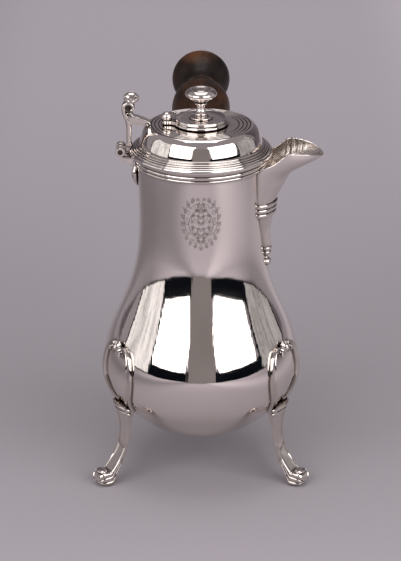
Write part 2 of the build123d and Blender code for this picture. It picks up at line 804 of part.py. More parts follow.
def make_finial_stem():
    """Foot disc, ring and waisted stem, with a spigot down through the cover."""
    foot, stem = finial_foot_radius, finial_stem_radius
    high = finial_seat + finial_stem_height
    with BuildPart() as piece:
        with BuildSketch(Plane.XZ):
            with BuildLine():
                Polyline((0, cover_low), (spigot_radius, cover_low), (spigot_radius, finial_seat),
                         (foot, finial_seat))
                ThreePointArc((foot, finial_seat), (foot + 0.3, finial_seat + 0.7), (foot - 0.2, finial_seat + 1.4))
                ThreePointArc((foot - 0.2, finial_seat + 1.4), (stem + 1.9, finial_seat + 1.9),
                              (stem + 1.4, finial_seat + 2.6))
                ThreePointArc((stem + 1.4, finial_seat + 2.6), (stem + 1.9, finial_seat + 3.2),
                              (stem + 1.2, finial_seat + 3.8))
                waist = Spline((stem + 1.2, finial_seat + 3.8), (stem - 0.3, finial_seat + 5.8),
                               (stem, high - 2.0), (stem + 0.9, high - 0.9))
                Polyline(waist @ 1, (stem + 0.9, high), (0, high), (0, cover_low))
            make_face()
        revolve(axis=Axis.Z)
    return piece.part


def make_finial_knob():
    """The mushroom knob, hollowed by a shallow ring on top."""
    low = finial_seat + finial_stem_height
    high = low + knob_height
    button = 0.46 * knob_radius
    sphere = (button ** 2 + 0.9 ** 2) / (2 * 0.9)
    crown = high - sphere + sqrt(sphere ** 2 - 0.25 * button ** 2)
    with BuildPart() as knob:
        with BuildSketch(Plane.XZ):
            with BuildLine():
                under = Spline((finial_stem_radius + 0.9, low), (0.68 * knob_radius, low + 1.6),
                               (knob_radius, low + 0.5 * knob_height),
                               (0.80 * knob_radius, high - 1.0), (0.64 * knob_radius, high - 0.2),
                               tangents=[(1, 0.25), (-1, 0.1)])
                ThreePointArc(under @ 1, (0.55 * knob_radius, high - 0.8), (button, high - 0.9))
                ThreePointArc((button, high - 0.9), (0.5 * button, crown), (0, high))
                Polyline((0, high), (0, low), (finial_stem_radius + 0.9, low))
            make_face()
        revolve(axis=Axis.Z)
    return knob.part


write(make_swivel_pin(), "swivel_pin")
write(make_cover_plate(), "cover_plate")
write(make_finial_stem(), "finial_stem")
write(make_finial_knob(), "finial_knob")

# ------------------------------------------------------------------------ hinge
knuckle_width = (hinge_width - 2 * hinge_knuckle_gap) / 3
hinge_bore = hinge_pin_radius + pin_running_clearance


def make_hinge_pin():
    """The steel pin through all the knuckles."""
    with BuildPart() as pin:
        with BuildSketch(Plane.XZ.offset(hinge_width / 2 - 0.6)):
            with Locations((-hinge_offset, hinge_height)):
                Circle(hinge_pin_radius)
        extrude(amount=-(hinge_width - 1.2))
    return pin.part


def make_hinge_body_leaf():
    """Two outer knuckles on arms that come up from the neck under the lid."""
    reach_in = mouth_radius + 0.6
    low = mouth_height - collar_depth - 3.0
    with BuildPart() as leaf:
        for end in (-1, 1):
            middle = end * (knuckle_width + hinge_knuckle_gap)
            with BuildSketch(Plane.XZ.offset(middle - knuckle_width / 2)):
                with BuildLine():
                    Polyline((-reach_in, mouth_height - 0.6), (-reach_in, low),
                             (-hinge_offset - 1.2, hinge_height - hinge_barrel_radius + 0.4),
                             (-hinge_offset + hinge_barrel_radius - 0.4, hinge_height - 1.6),
                             (-hinge_offset + hinge_barrel_radius - 0.2, mouth_height - 0.6), close=True)
                make_face()
                with Locations((-hinge_offset, hinge_height)):
                    Circle(hinge_barrel_radius)
                    Circle(hinge_bore, mode=Mode.SUBTRACT)
            extrude(amount=knuckle_width)
        add(body_solid, mode=Mode.SUBTRACT)
        add(body_collar, mode=Mode.SUBTRACT)
    return leaf.part


def make_hinge_lid_leaf():
    """The middle knuckle on a tongue that is soldered to the lid's rim."""
    with BuildPart() as leaf:
        with BuildSketch(Plane.XZ.offset(-knuckle_width / 2)):
            with BuildLine():
                Polyline((-hinge_offset, hinge_height), (-hinge_offset, rim_top + 1.6),
                         (-lid_rim_radius - 0.6, rim_top + 1.6), (-dome_foot_radius - 0.4, rim_top + 1.2),
                         (-dome_foot_radius - 0.4, lid_seat + 0.8), (-lid_rim_radius - 0.6, lid_seat + 0.8),
                         close=True)
            make_face()
            with Locations((-hinge_offset, hinge_height)):
                Circle(hinge_barrel_radius)
                Circle(hinge_bore, mode=Mode.SUBTRACT)
        extrude(amount=knuckle_width)
        add(lid_rim, mode=Mode.SUBTRACT)
    return leaf.part


def make_hinge_drop():
    """A leaf-shaped drop below the hinge that braces it against the neck."""
    top = mouth_height - collar_depth - 3.2
    with BuildPart() as drop:
        with BuildSketch(Plane.XZ):
            with BuildLine():
                Spline((-mouth_radius + 2, top), (-mouth_radius - 5.4, top - 0.4), (-mouth_radius - 4.4, top - 5.0),
                       (-mouth_radius - 1.0, top - 13.0), (-mouth_radius + 2, top - 14.0))
                Line((-mouth_radius + 2, top - 14.0), (-mouth_radius + 2, top))
            make_face()
        extrude(amount=4.0, both=True)
        with BuildSketch(foot_front):
            with BuildLine():
                tip = Spline((0, top - 14.0), (2.6, top - 9.0), (3.4, top - 3.0), (2.4, top))
                Line(tip @ 1, (0, top))
                Line((0, top), tip @ 0)
            make_face()
            mirror(about=Plane.YZ)
        extrude(amount=-2 * hinge_offset, mode=Mode.INTERSECT)
        add(body_solid, mode=Mode.SUBTRACT)
    return drop.part


hinge_lid_leaf = make_hinge_lid_leaf()
write(make_hinge_body_leaf(), "hinge_body_leaf")
write(hinge_lid_leaf, "hinge_lid_leaf")
write(make_hinge_pin(), "hinge_pin")
write(make_hinge_drop(), "hinge_drop")


# ------------------------------------------------------------------- thumbpiece
def make_thumbpiece():
    """A strap that rises from the hinge, curls over, and is braced to the dome."""
    half = thumb_strap / 2
    low = rim_top + 1.7
    foot = -thumb_offset
    roll = (foot + 0.6, plateau_height + 11.2)
    edge = -plateau_radius
    ball_middle = roll[0] + 1.1
    ball_height = roll[1] + thumb_roll_radius + 2.4
    flat = 0.76 * thumb_ball_radius
    with BuildPart() as thumb:
        with BuildSketch(Plane.XZ):
            with BuildLine():
                strap = Spline((foot - half, low), (foot - half, plateau_height - 1.5),
                               (foot - half - 0.8, plateau_height + 3.3),
                               (roll[0] - 4.4, plateau_height + 6.7), (roll[0] - 5.0, roll[1] - 0.9),
                               (roll[0] - 4.2, roll[1] + 2.3), (roll[0] - 1.4, roll[1] + 4.1),
                               (roll[0] + 1.6, roll[1] + 3.6), (roll[0] + 3.4, roll[1] + 1.4),
                               (roll[0] + 3.2, roll[1] - 1.3), (roll[0] + 1.3, roll[1] - 2.9),
                               tangents=[(0, 1), (-1, -0.3)])
                brace = Spline(strap @ 1, (roll[0] + 1.7, roll[1] - 4.3), (roll[0] + 4.8, roll[1] - 5.9),
                               (roll[0] + 7.9, roll[1] - 7.0), (edge - 1.4, plateau_height + 3.0),
                               (edge + 1.0, plateau_height - 0.6))
                foot_line = Line(brace @ 1, (edge - 2.2, plateau_height - 2.4))
                under = Spline(foot_line @ 1, (edge - 3.2, plateau_height - 0.6), (edge - 6.6, plateau_height),
                               (foot + half, plateau_height - 0.3))
                Polyline(under @ 1, (foot + half, low), (foot - half, low))
            make_face()
        extrude(amount=thumb_width / 2, both=True)
        with BuildSketch(Plane.XZ):
            with BuildLine():
                ball = Spline((ball_middle, ball_height - flat),
                              (ball_middle + 0.71 * thumb_ball_radius, ball_height - 0.71 * flat),
                              (ball_middle + thumb_ball_radius, ball_height),
                              (ball_middle + 0.71 * thumb_ball_radius, ball_height + 0.71 * flat),
                              (ball_middle, ball_height + flat), tangents=[(1, 0), (-1, 0)])
                Line(ball @ 1, ball @ 0)
            make_face()
        revolve(axis=Axis((ball_middle, 0, 0), (0, 0, 1)))
        add(lid_dome, mode=Mode.SUBTRACT)
    return thumb.part


write(make_thumbpiece(), "thumbpiece")
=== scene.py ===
# %% [markdown]
# # A silver chocolate pot
# The pot stands on three scroll feet. It has a beak spout, a dark turned handle that
# points away from us, a hinged lid, and on the lid a little cover that swivels aside so
# that a stirring rod can go in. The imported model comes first, as a frame that never
# moves. Everything made below is set on it, in metres, and rides on one of its bodies.

# %% load the frame
import bpy
import bmesh
import numpy as np
from math import cos, degrees, dist, hypot, pi, radians, sin, sqrt
from mathutils import Matrix, Vector


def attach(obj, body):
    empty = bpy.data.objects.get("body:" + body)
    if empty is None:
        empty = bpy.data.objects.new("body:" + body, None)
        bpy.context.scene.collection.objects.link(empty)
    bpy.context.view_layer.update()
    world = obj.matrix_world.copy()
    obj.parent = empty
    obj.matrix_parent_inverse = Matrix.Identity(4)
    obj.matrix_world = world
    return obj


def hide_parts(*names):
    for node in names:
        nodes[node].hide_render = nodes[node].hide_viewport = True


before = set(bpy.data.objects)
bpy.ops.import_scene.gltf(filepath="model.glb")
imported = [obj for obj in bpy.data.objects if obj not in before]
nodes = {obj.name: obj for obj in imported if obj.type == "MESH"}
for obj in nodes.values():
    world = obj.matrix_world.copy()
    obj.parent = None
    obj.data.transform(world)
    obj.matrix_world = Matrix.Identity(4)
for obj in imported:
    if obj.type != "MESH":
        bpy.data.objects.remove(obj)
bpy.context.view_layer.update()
mm = 0.001

# %% [markdown]
# ## The camera
# The photograph looks down on the pot from the front with a long lens. The camera's
# place was found by fitting the pot's own sizes to the picture, so it is written down as
# plain numbers here.

# %% set the camera
def linked(name, data):
    """A new object of the scene that shows some data."""
    made = bpy.data.objects.new(name, data)
    bpy.context.scene.collection.objects.link(made)
    return made


def aimed(made, place, target):
    """An object put at a place and turned to look at a target."""
    made.location = place
    made.rotation_euler = (Vector(target) - Vector(place)).to_track_quat("-Z", "Y").to_euler()
    return made


camera_place, camera_target, focal_length = (0.0, -1.33, 0.67), (-0.0003, 0.0, 0.1287), 141.9
lens = bpy.data.cameras.new("camera")
lens.lens, lens.sensor_width, lens.clip_start, lens.clip_end = focal_length, 36.0, 0.05, 30.0
bpy.context.scene.camera = aimed(linked("camera", lens), camera_place, camera_target)
print("camera set")

# %% [markdown]
# ## Helpers for lines and turned pieces
# Nearly all of this pot was raised, cast or turned, so its pieces are smooth curves spun
# round an axis or swept along a line. A clamped cubic spline is the maker's bent lath:
# it passes through a few chosen points and has a chosen direction at both ends.
# A turned piece is then its outline repeated round the axis. Polished silver shows every
# flat, so the outlines are sampled finely and shaded smooth.

# %% bend lines through points
def lath(points, start=None, end=None, steps=60):
    """Points along a smooth line that leaves towards start and arrives along end."""
    knots = np.array(points, float)
    gap = np.linalg.norm(np.diff(knots, axis=0), axis=1)
    way = [knots[1] - knots[0] if start is None else np.array(start, float),
           knots[-1] - knots[-2] if end is None else np.array(end, float)]
    way = [w / np.linalg.norm(w) for w in way]
    count = len(knots)
    left, right = np.zeros((count, count)), np.zeros_like(knots)
    left[0, 0] = left[-1, -1] = 1
    right[0], right[-1] = way
    for i in range(1, count - 1):
        before, after = gap[i - 1], gap[i]
        left[i, i - 1:i + 2] = after, 2 * (before + after), before
        come, go = knots[i] - knots[i - 1], knots[i + 1] - knots[i]
        right[i] = 3 * (after * come / before + before * go / after)
    slope = np.linalg.solve(left, right)
    along = np.concatenate([[0], np.cumsum(gap)])
    line = []
    for s in np.linspace(0, along[-1], steps + 1):
        i = min(max(int(np.searchsorted(along, s, side="right")) - 1, 0), count - 2)
        t, h = (s - along[i]) / gap[i], gap[i]
        line.append((2 * t**3 - 3 * t**2 + 1) * knots[i] + (t**3 - 2 * t**2 + t) * h * slope[i]
                    + (3 * t**2 - 2 * t**3) * knots[i + 1] + (t**3 - t**2) * h * slope[i + 1])
    return [tuple(p) for p in line]


def bulge(start, end, rise, steps=8):
    """A round bead between two points of an outline, standing out by rise."""
    (x0, y0), (x1, y1) = start, end
    long = hypot(x1 - x0, y1 - y0)
    out = ((y1 - y0) / long, (x0 - x1) / long)
    line = []
    for i in range(steps + 1):
        t = i / steps
        if abs(rise) > 0.35 * long:
            t = 0.5 - 0.5 * cos(pi * t)
        lift = rise * sqrt(max(0.0, 1 - (2 * t - 1) ** 2))
        line.append((x0 + t * (x1 - x0) + lift * out[0], y0 + t * (y1 - y0) + lift * out[1]))
    return line


def circle(count):
    """Angles of a full turn in equal steps."""
    return np.linspace(0, 2 * pi, count + 1)[:-1]


# %% make faces, mesh pieces and turned pieces
def grid(rows, wide, loop=False, caps=False):
    """Faces between rows of points. A loop joins each row's ends, caps close both end rows."""
    faces = [(r * wide + c, r * wide + (c + 1) % wide, (r + 1) * wide + (c + 1) % wide, (r + 1) * wide + c)
             for r in range(rows - 1) for c in range(wide if loop else wide - 1)]
    if caps:
        last = (rows - 1) * wide
        faces += [tuple(range(wide))[::-1], tuple(range(last, last + wide))]
    return faces


def prism(near, far):
    """Points and faces of a solid between two equal outlines."""
    count = len(near)
    ends = [tuple(range(count)), tuple(range(count, 2 * count))[::-1]]
    return near + far, ends + grid(2, count, loop=True)


def both(first, second):
    """Two sets of points and faces put together."""
    shift = len(first[0])
    return first[0] + second[0], first[1] + [tuple(i + shift for i in f) for f in second[1]]


def ball(centre, across, along, up, polar, around):
    """Points and faces of a ball with three half axes, between two polar angles."""
    points = [centre + across * (sin(a) * cos(b)) + along * (sin(a) * sin(b)) + up * cos(a)
              for a in polar for b in circle(around)]
    return points, grid(len(polar), around, loop=True)


def smooth(mesh, sharp):
    """Shade a mesh smooth, except across edges sharper than the angle."""
    mesh.shade_smooth()
    mesh.set_sharp_from_angle(angle=radians(sharp))


def frozen(made):
    """Keep what a piece's modifiers make of it as its plain mesh."""
    made.data = bpy.data.meshes.new_from_object(made.evaluated_get(bpy.context.evaluated_depsgraph_get()))
    made.modifiers.clear()
    return made


def piece_from(name, points, faces, material, sharp=35):
    """A clean mesh object from points in millimetres."""
    mesh = bpy.data.meshes.new(name)
    mesh.from_pydata([Vector(p) * mm for p in points], [], faces)
    tidy = bmesh.new()
    tidy.from_mesh(mesh)
    bmesh.ops.remove_doubles(tidy, verts=tidy.verts, dist=1e-6)
    bmesh.ops.dissolve_degenerate(tidy, edges=tidy.edges, dist=1e-7)
    bmesh.ops.recalc_face_normals(tidy, faces=tidy.faces)
    tidy.to_mesh(mesh)
    tidy.free()
    smooth(mesh, sharp)
    mesh.materials.append(material)
    return linked(name, mesh)


def spun(name, outline, material, around=192, place=None, sharp=35):
    """A closed outline of (radius, height) in millimetres, spun round an axis."""
    clean = [outline[0]]
    for p in outline[1:]:
        if dist(p, clean[-1]) > 1e-4:
            clean.append(p)
    if dist(clean[0], clean[-1]) < 1e-4:
        clean.pop()
    rows, place = len(clean), place or Matrix()
    points = [place @ Vector((r * cos(turn), r * sin(turn), z)) for turn in circle(around) for r, z in clean]
    faces = []
    for i in range(around):
        here, there = i * rows, (i + 1) % around * rows
        for k in range(rows):
            m = (k + 1) % rows
            if max(clean[k][0], clean[m][0]) >= 1e-6:
                faces.append((here + k, there + k, there + m, here + m))
    return piece_from(name, points, faces, material, sharp)


def on_frame(made, body, *stands_for, slot="silver"):
    """Hand a finished piece to the frame: what it rides on and what it stands for."""
    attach(made, body)
    if stands_for:
        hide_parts(*stands_for)
    return made


# %% [markdown]
# ## Shader groups for old silver
# Old silver is a near perfect mirror that has been rubbed with cloths for two hundred
# years. Its mirror is softened by hair-fine scratches in all directions, by slightly
# uneven hammering under the polish, and by a faint warm bloom. Three groups make these:
# one gives the scratches as a height, one gives slow waves as a height, and one gives a
# soft patchy mask that changes the roughness. They are built once, and every silver
# uses them with its own numbers.

# %% write short names for nodes
def feed(tree, node, sockets):
    """Link each named input of a node or give it a value; a node stands for its first output."""
    for name, value in sockets.items():
        if isinstance(value, bpy.types.Node):
            value = value.outputs[0]
        if isinstance(value, bpy.types.NodeSocket):
            tree.links.new(value, node.inputs[name])
        else:
            node.inputs[name].default_value = value
    return node


def add(tree, kind, sockets, **options):
    """A new node with its options set and its inputs fed."""
    node = tree.nodes.new(kind)
    for name, value in options.items():
        setattr(node, name, value)
    return feed(tree, node, sockets)


def own_space(tree):
    """The coordinates of the piece's own space."""
    return tree.nodes.new("ShaderNodeTexCoord").outputs["Object"]


def math_node(tree, kind, *values):
    """A sum, a product or another rule for numbers."""
    return add(tree, "ShaderNodeMath", dict(enumerate(values)), operation=kind)


def noise(tree, where, scale, detail=2.0, rough=0.5, warp=0.0):
    """A noise texture read at where."""
    return add(tree, "ShaderNodeTexNoise", {"Vector": where, "Scale": scale, "Detail": detail,
                                            "Roughness": rough, "Distortion": warp})


def stretched(tree, where, turn, scale):
    """The coordinates turned and squeezed, so that a pattern runs in lines."""
    return add(tree, "ShaderNodeMapping", {"Vector": where, "Rotation": turn, "Scale": scale})


def between(tree, value, low, high, first=0.0, last=1.0):
    """A value's range from low to high, laid over first to last."""
    return add(tree, "ShaderNodeMapRange", {"Value": value, "From Min": low, "From Max": high,
                                            "To Min": first, "To Max": last})


def mixed(tree, amount, first, second, rule="MIX"):
    """Two colours mixed by an amount."""
    return add(tree, "ShaderNodeMix", {"Factor": amount, "A": first, "B": second},
               data_type="RGBA", blend_type=rule).outputs["Result"]


def ramp(tree, value, stops, rule="LINEAR"):
    """A colour for a value, from stops of (value, colour)."""
    node = add(tree, "ShaderNodeValToRGB", {"Fac": value})
    node.color_ramp.interpolation = rule
    elements = node.color_ramp.elements
    while len(elements) < len(stops):
        elements.new(0.5)
    for stop, (place, colour) in zip(elements, stops):
        stop.position, stop.color = place, (*colour, 1)
    return node


def new_material(name):
    """A material, its node tree and its main shader."""
    made = bpy.data.materials.new(name)
    made.use_nodes = True
    return made, made.node_tree, made.node_tree.nodes["Principled BSDF"]


def new_group(name, kind, inputs, outputs):
    """An empty node group with named sockets, and its first and last nodes."""
    group = bpy.data.node_groups.new(name, kind)
    for way, sockets in (("INPUT", inputs), ("OUTPUT", outputs)):
        for label, socket_kind, *value in sockets:
            socket = group.interface.new_socket(label, in_out=way, socket_type=socket_kind)
            if value:
                socket.default_value = value[0]
    return group, group.nodes.new("NodeGroupInput"), group.nodes.new("NodeGroupOutput")


# %% build the groups
number = "NodeSocketFloat"
rubbed, start, end = new_group("rubbing_scratches", "ShaderNodeTree", [("Fineness", number, 900.0)],
                               [("Height", number)])
where, total = own_space(rubbed), None
for turn in ((0.3, 0.5, 0.2), (1.1, -0.4, 0.9), (-0.7, 1.2, 2.0), (0.1, 2.2, -0.8)):
    lines = noise(rubbed, stretched(rubbed, where, turn, (1.0, 0.05, 0.05)), start.outputs["Fineness"], 1.0)
    height = math_node(rubbed, "SMOOTH_MIN", lines, 0.52, 0.05)
    total = math_node(rubbed, "ADD", total, height) if total else height
feed(rubbed, end, {"Height": total})

raised, start, end = new_group("hammered_waves", "ShaderNodeTree", [("Size", number, 60.0)],
                               [("Height", number)])
where = own_space(raised)
slow = noise(raised, where, start.outputs["Size"], 1.0, 0.4)
quick = noise(raised, where, math_node(raised, "MULTIPLY", start.outputs["Size"], 4.0), 1.0, 0.4)
feed(raised, end, {"Height": math_node(raised, "ADD", slow, math_node(raised, "MULTIPLY", quick, 0.16))})

bloom, start, end = new_group("patchy_bloom", "ShaderNodeTree",
                              [("Size", number, 30.0), ("Least", number, 0.1), ("Most", number, 0.2)],
                              [("Value", number)])
patch = noise(bloom, own_space(bloom), start.outputs["Size"], 5.0, 0.62, 0.4)
feed(bloom, end, {"Value": between(bloom, patch, 0.35, 0.68, start.outputs["Least"], start.outputs["Most"])})
print("groups", [g.name for g in bpy.data.node_groups])

# %% [markdown]
# ## The finishes
# Body silver is the widest mirror, so its scratches show most. Small cast pieces, such as
# feet and hinge, are handled more and polished less evenly, so they are a little rougher
# and darker in their hollows. A Principled shader at full metallic gives the reflection.
# Hollows and tight joints get a darker and browner tone, partly for the tarnish that polish
# never reaches and partly as painted shade where the pieces shade each other. Pointiness,
# which Blender works out from the mesh, finds the hollows, and ambient occlusion finds the
# joints, where two pieces come closer than two or three millimetres.

# %% mix the silver
def metal(name, tone, tarnish_and_shade_tone, least, most, scratch, wave, wave_size=45.0):
    """Polished silver with its own tone, roughness range, scratches and waves, and a darker tone in hollows
    and joints that is partly tarnish and partly painted shade.
    """
    made, tree, shader = new_material(name)
    patches = add(tree, "ShaderNodeGroup", {"Size": 26.0, "Least": least, "Most": most}, node_tree=bloom)
    waves = add(tree, "ShaderNodeGroup", {"Size": wave_size}, node_tree=raised)
    lines = add(tree, "ShaderNodeGroup", {"Fineness": 900.0}, node_tree=rubbed)
    # Hollows and joints get a darker, browner tone: partly tarnish, partly painted shade where pieces shade
    # each other.
    pointed = tree.nodes.new("ShaderNodeNewGeometry").outputs["Pointiness"]
    occluded_joint_shade = add(tree, "ShaderNodeAmbientOcclusion", {"Distance": 2.6 * mm}, samples=8).outputs["AO"]
    tarnish_and_painted_shade = math_node(tree, "MAXIMUM", between(tree, pointed, 0.40, 0.495, 1.0, 0.0),
                      between(tree, occluded_joint_shade, 0.38, 0.95, 1.0, 0.0))
    soft = add(tree, "ShaderNodeBump", {"Distance": wave * mm, "Height": waves})
    fine = add(tree, "ShaderNodeBump", {"Distance": scratch * mm, "Height": lines, "Normal": soft})
    feed(tree, shader, {"Metallic": 1.0, "Roughness": patches, "Normal": fine,
                        "Base Color": mixed(tree, tarnish_and_painted_shade, (*tone, 1), (*tarnish_and_shade_tone, 1))})
    return made


silver_body = metal("silver_body", (0.84, 0.77, 0.73), (0.12, 0.10, 0.085), 0.025, 0.07, 0.018, 0.16)
silver_lid = metal("silver_lid", (0.81, 0.74, 0.70), (0.10, 0.08, 0.065), 0.03, 0.08, 0.012, 0.05)
silver_cast = metal("silver_cast", (0.77, 0.70, 0.655), (0.07, 0.055, 0.045), 0.05, 0.13, 0.010, 0.08, 90.0)
silver_inside = metal("silver_inside", (0.66, 0.60, 0.55), (0.16, 0.13, 0.11), 0.20, 0.32, 0.012, 0.12)
for node in nodes.values():
    node.data.materials.clear()
    node.data.materials.append(silver_cast)
print("silver mixed")

# %% [markdown]
# ## The body
# The pear was raised from one sheet of silver and is turned about one axis. Its side line
# is a lath bent through twelve points, widest low down and slim at the neck. The wall is
# real: the same line moved inwards makes the inside, which shows when the lid is open.
# The opening behind the spout is cut last.

# %% raise the pear
pear_knots = [(0, 22.5), (15.34, 24.66), (30.62, 30.78), (44.06, 39.98), (54.52, 50.84), (61.12, 61.37),
              (63.4, 68.5), (61.04, 91.99), (49.0, 120.97), (41.4, 149.02), (39.8, 172.0), (40.5, 216.0)]
pear_side = lath(pear_knots, (1, 0), (0, 1), 130)


def moved(line, grow):
    """The line moved sideways by grow: outwards on a line that runs up the right side."""
    made = []
    for i, (x, y) in enumerate(line):
        a, b = line[max(i - 1, 0)], line[min(i + 1, len(line) - 1)]
        long = hypot(b[0] - a[0], b[1] - a[1])
        made.append((max(0.0, x + grow * (b[1] - a[1]) / long), y - grow * (b[0] - a[0]) / long))
    made[0] = (0.0, made[0][1])
    return made


def pear_radius(height):
    """The outside radius of the body at a height, in millimetres."""
    return float(np.interp(height, [p[1] for p in pear_side], [p[0] for p in pear_side]))


body_wall = 1.2
pear_inside = moved(pear_side, -body_wall)
body = spun("pear_body", pear_side + pear_inside[::-1], silver_body, 256)
print("pear", len(body.data.vertices), "points")

# %% cut the opening behind the spout
spout_turn = radians(4.0)
spout_way = Vector((cos(spout_turn), -sin(spout_turn), 0))
spout_side = Vector((sin(spout_turn), cos(spout_turn), 0))
opening_height, cut_from, cut_to = 198.4, 20, 60


def rounded_rectangle(wide, high, corner, steps=8):
    """The outline of a rectangle with round corners, centred on the origin."""
    x, y, line = wide / 2 - corner, high / 2 - corner, []
    for sx, sy, first in ((1, 1, 0), (-1, 1, 90), (-1, -1, 180), (1, -1, 270)):
        for k in range(steps + 1):
            a = radians(first + 90 * k / steps)
            line.append((sx * x + corner * cos(a), sy * y + corner * sin(a)))
    return line


hole = rounded_rectangle(wide=18.6, high=18.8, corner=7.44)
points = [spout_way * reach + spout_side * x + Vector((0, 0, opening_height + y))
          for reach in (cut_from, cut_to) for x, y in hole]
cutter = piece_from("cutter", points, grid(2, len(hole), loop=True, caps=True), silver_body)
cut = body.modifiers.new("cut", "BOOLEAN")
cut.operation, cut.solver, cut.object = "DIFFERENCE", "EXACT", cutter
smooth(frozen(body).data, 35)
bpy.data.objects.remove(cutter)
on_frame(body, "pot", "body_shell")

# %% [markdown]
# ## The collar under the mouth
# Two reeds and a flat strip run round the neck just under the lid. They are one ring,
# soldered on. An outline made of small bulges, spun once, gives it.

# %% turn the collar
ring = [(40.6, 215.9), (40.55, 209.9), (41.3, 209.8)]
ring += bulge((41.2, 209.9), (41.3, 211.7), 0.85)
ring += bulge((41.3, 211.8), (41.5, 214.3), 1.0)
ring += [(41.6, 214.5), (41.8, 215.9)]
collar = on_frame(spun("mouth_collar", ring, silver_body), "pot", "body_collar")
print("collar", [round(v, 4) for v in collar.dimensions])

# %% [markdown]
# ## The lid
# The lid's rim is a bold bead with three fine reeds above it. The dome rises from a
# narrow flat, leans in a little and turns over a soft shoulder to a flat top, where four
# fine grooves were cut while it turned. They are in the outline itself, because a mirror
# shows a real groove and never a painted one. The hole for the rod is lined with a short
# tube, and the plain inner ring keeps the lid centred.

# %% turn the lid's rim
rim = [(37.7, 216.3), (44.4, 216.3)]
rim += bulge((44.5, 216.35), (44.7, 219.3), 0.85, 12)
rim += [(44.4, 219.45)]
for outer, inner, low, high in ((44.3, 43.2, 219.5, 220.3), (42.9, 42.0, 220.3, 221.2),
                                (41.7, 40.8, 221.2, 222.0)):
    reed = bulge((outer, low), (inner, high), 0.42, 6)
    rim += [(outer + 0.05, low - 0.3), *reed, (inner - 0.05, high - 0.45)]
rim += [(40.5, 222.1), (40.0, 222.3), (40.0, 219.9), (37.7, 219.9)]
on_frame(spun("lid_edge_moulding", rim, silver_lid), "lid", "lid_rim")

# %% turn the dome
dome = [(40.0, 219.9), (40.0, 222.3)]
dome += bulge((39.95, 222.4), (39.3, 223.3), 0.35, 6)
dome += lath([(39.0, 223.5), (37.9, 228.0), (36.0, 232.4), (34.4, 234.3), (33.0, 235.3)],
             (-0.1, 1), (-1, 0.35), 28)
for outer, inner in ((31.8, 31.0), (29.6, 28.8), (27.2, 26.4), (24.6, 23.8)):
    middle = (outer + inner) / 2
    dome += [(outer, 235.4), (middle + 0.15, 234.8), (middle - 0.15, 234.8), (inner, 235.4)]
dome += [(23.6, 235.4), (20.0, 235.45), (8.0, 235.5), (8.0, 234.3), (31.8, 234.3)]
dome += lath([(32.0, 234.2), (34.3, 232.6), (36.7, 228.5), (38.8, 222.1)], (1, -0.3), (0.1, -1), 20)
dome += [(38.8, 219.9)]
lid_dome = on_frame(spun("lid_dome_turned", dome, silver_lid), "lid", "lid_dome")
print("lid is", round(lid_dome.dimensions.z * 1000, 1), "mm high over its seat")

# %% turn the inner ring and the tube of the hole
inner_ring = [(37.7, 219.9), (37.7, 208.6), (37.4, 208.3), (36.8, 208.3), (36.5, 208.6), (36.5, 219.9)]
on_frame(spun("lid_inner_ring", inner_ring, silver_inside), "lid", "lid_bezel")
tube = [(8.0, 235.5), (8.0, 231.6), (7.7, 231.3), (7.3, 231.3), (7.0, 231.6), (7.0, 235.1), (7.3, 235.5)]
on_frame(spun("rod_hole_tube", tube, silver_lid, 96), "lid", "stirrer_hole_collar")

# %% [markdown]
# ## The swivelling cover and its finial
# The cover is a small dished disc. An ear on its left side turns under a round-headed
# pin. The finial is turned in one: a foot, a ring, a slim waist, a ring and a mushroom
# knob with a sunk top, and it is the handle that swings the cover aside.

# %% turn the cover, with its ear
plate = [(0, 235.9), (16.9, 235.9)]
plate += bulge((17.0, 235.95), (17.1, 237.3), 0.25, 6)
plate += [(16.7, 237.5), (16.5, 238.4)]
plate += bulge((16.5, 238.6), (15.6, 240.1), 0.45, 8)
plate += [(15.2, 240.05)]
plate += lath([(15.0, 239.9), (12.0, 239.2), (7.1, 239.5)], (-1, -0.3), (-1, 0.1), 14)
plate += [(0, 239.5)]
cover = spun("swivel_cover", plate, silver_lid, 160)
ear = lath([(-15.5, -5.6), (-18.6, -3.6), (-20.2, -2.9), (-21.6, -3.2), (-24.0, -2.0), (-24.8, 0),
            (-24.0, 2.0), (-21.6, 3.2), (-20.2, 2.9), (-18.6, 3.6), (-15.5, 5.6)], steps=48)
lug = prism(*([(x, y, z) for x, y in ear] for z in (235.9, 238.05)))
lug = piece_from("swivel_ear", *lug, silver_lid)
soft = lug.modifiers.new("soft", "BEVEL")
soft.width, soft.segments, soft.limit_method = 0.35 * mm, 3, "ANGLE"
on_frame(cover, "finial", "cover_plate")
on_frame(frozen(lug), "finial")

# %% turn the pin, the stem and the knob
swivel_place = Matrix.Translation((-21.6, 0, 0))
pin = [(0, 233.3), (2.6, 233.3), (2.6, 234.3), (1.7, 234.3), (1.7, 238.35), (2.9, 238.4)]
pin += [(3.4 * cos(a), 240.1 + 3.4 * sin(a)) for a in np.linspace(radians(-30), radians(90), 22)]
pin[-1] = (0, 243.5)
on_frame(spun("swivel_pin_ball", pin, silver_lid, 64, swivel_place), "lid", "swivel_pin")
stem = [(0, 235.9), (1.5, 235.9), (1.5, 239.4), (7.0, 239.45)]
stem += bulge((7.05, 239.5), (7.0, 240.7), 0.35)
stem += lath([(6.8, 240.8), (5.2, 241.3), (4.3, 242.0)], (-1, 0.1), (-0.2, 1), 8)
stem += bulge((4.2, 242.1), (4.1, 243.3), 0.55)
stem += lath([(3.7, 243.5), (2.55, 245.4), (2.6, 247.6), (2.9, 248.4)], (-0.8, 1), (0.6, 1), 14)
stem += bulge((3.1, 248.5), (3.2, 249.7), 0.65)
stem += [(3.0, 249.8), (3.6, 250.6), (0, 250.6)]
on_frame(spun("finial_stem_turned", stem, silver_lid, 96), "finial", "finial_stem")
knob = [(0, 250.6)]
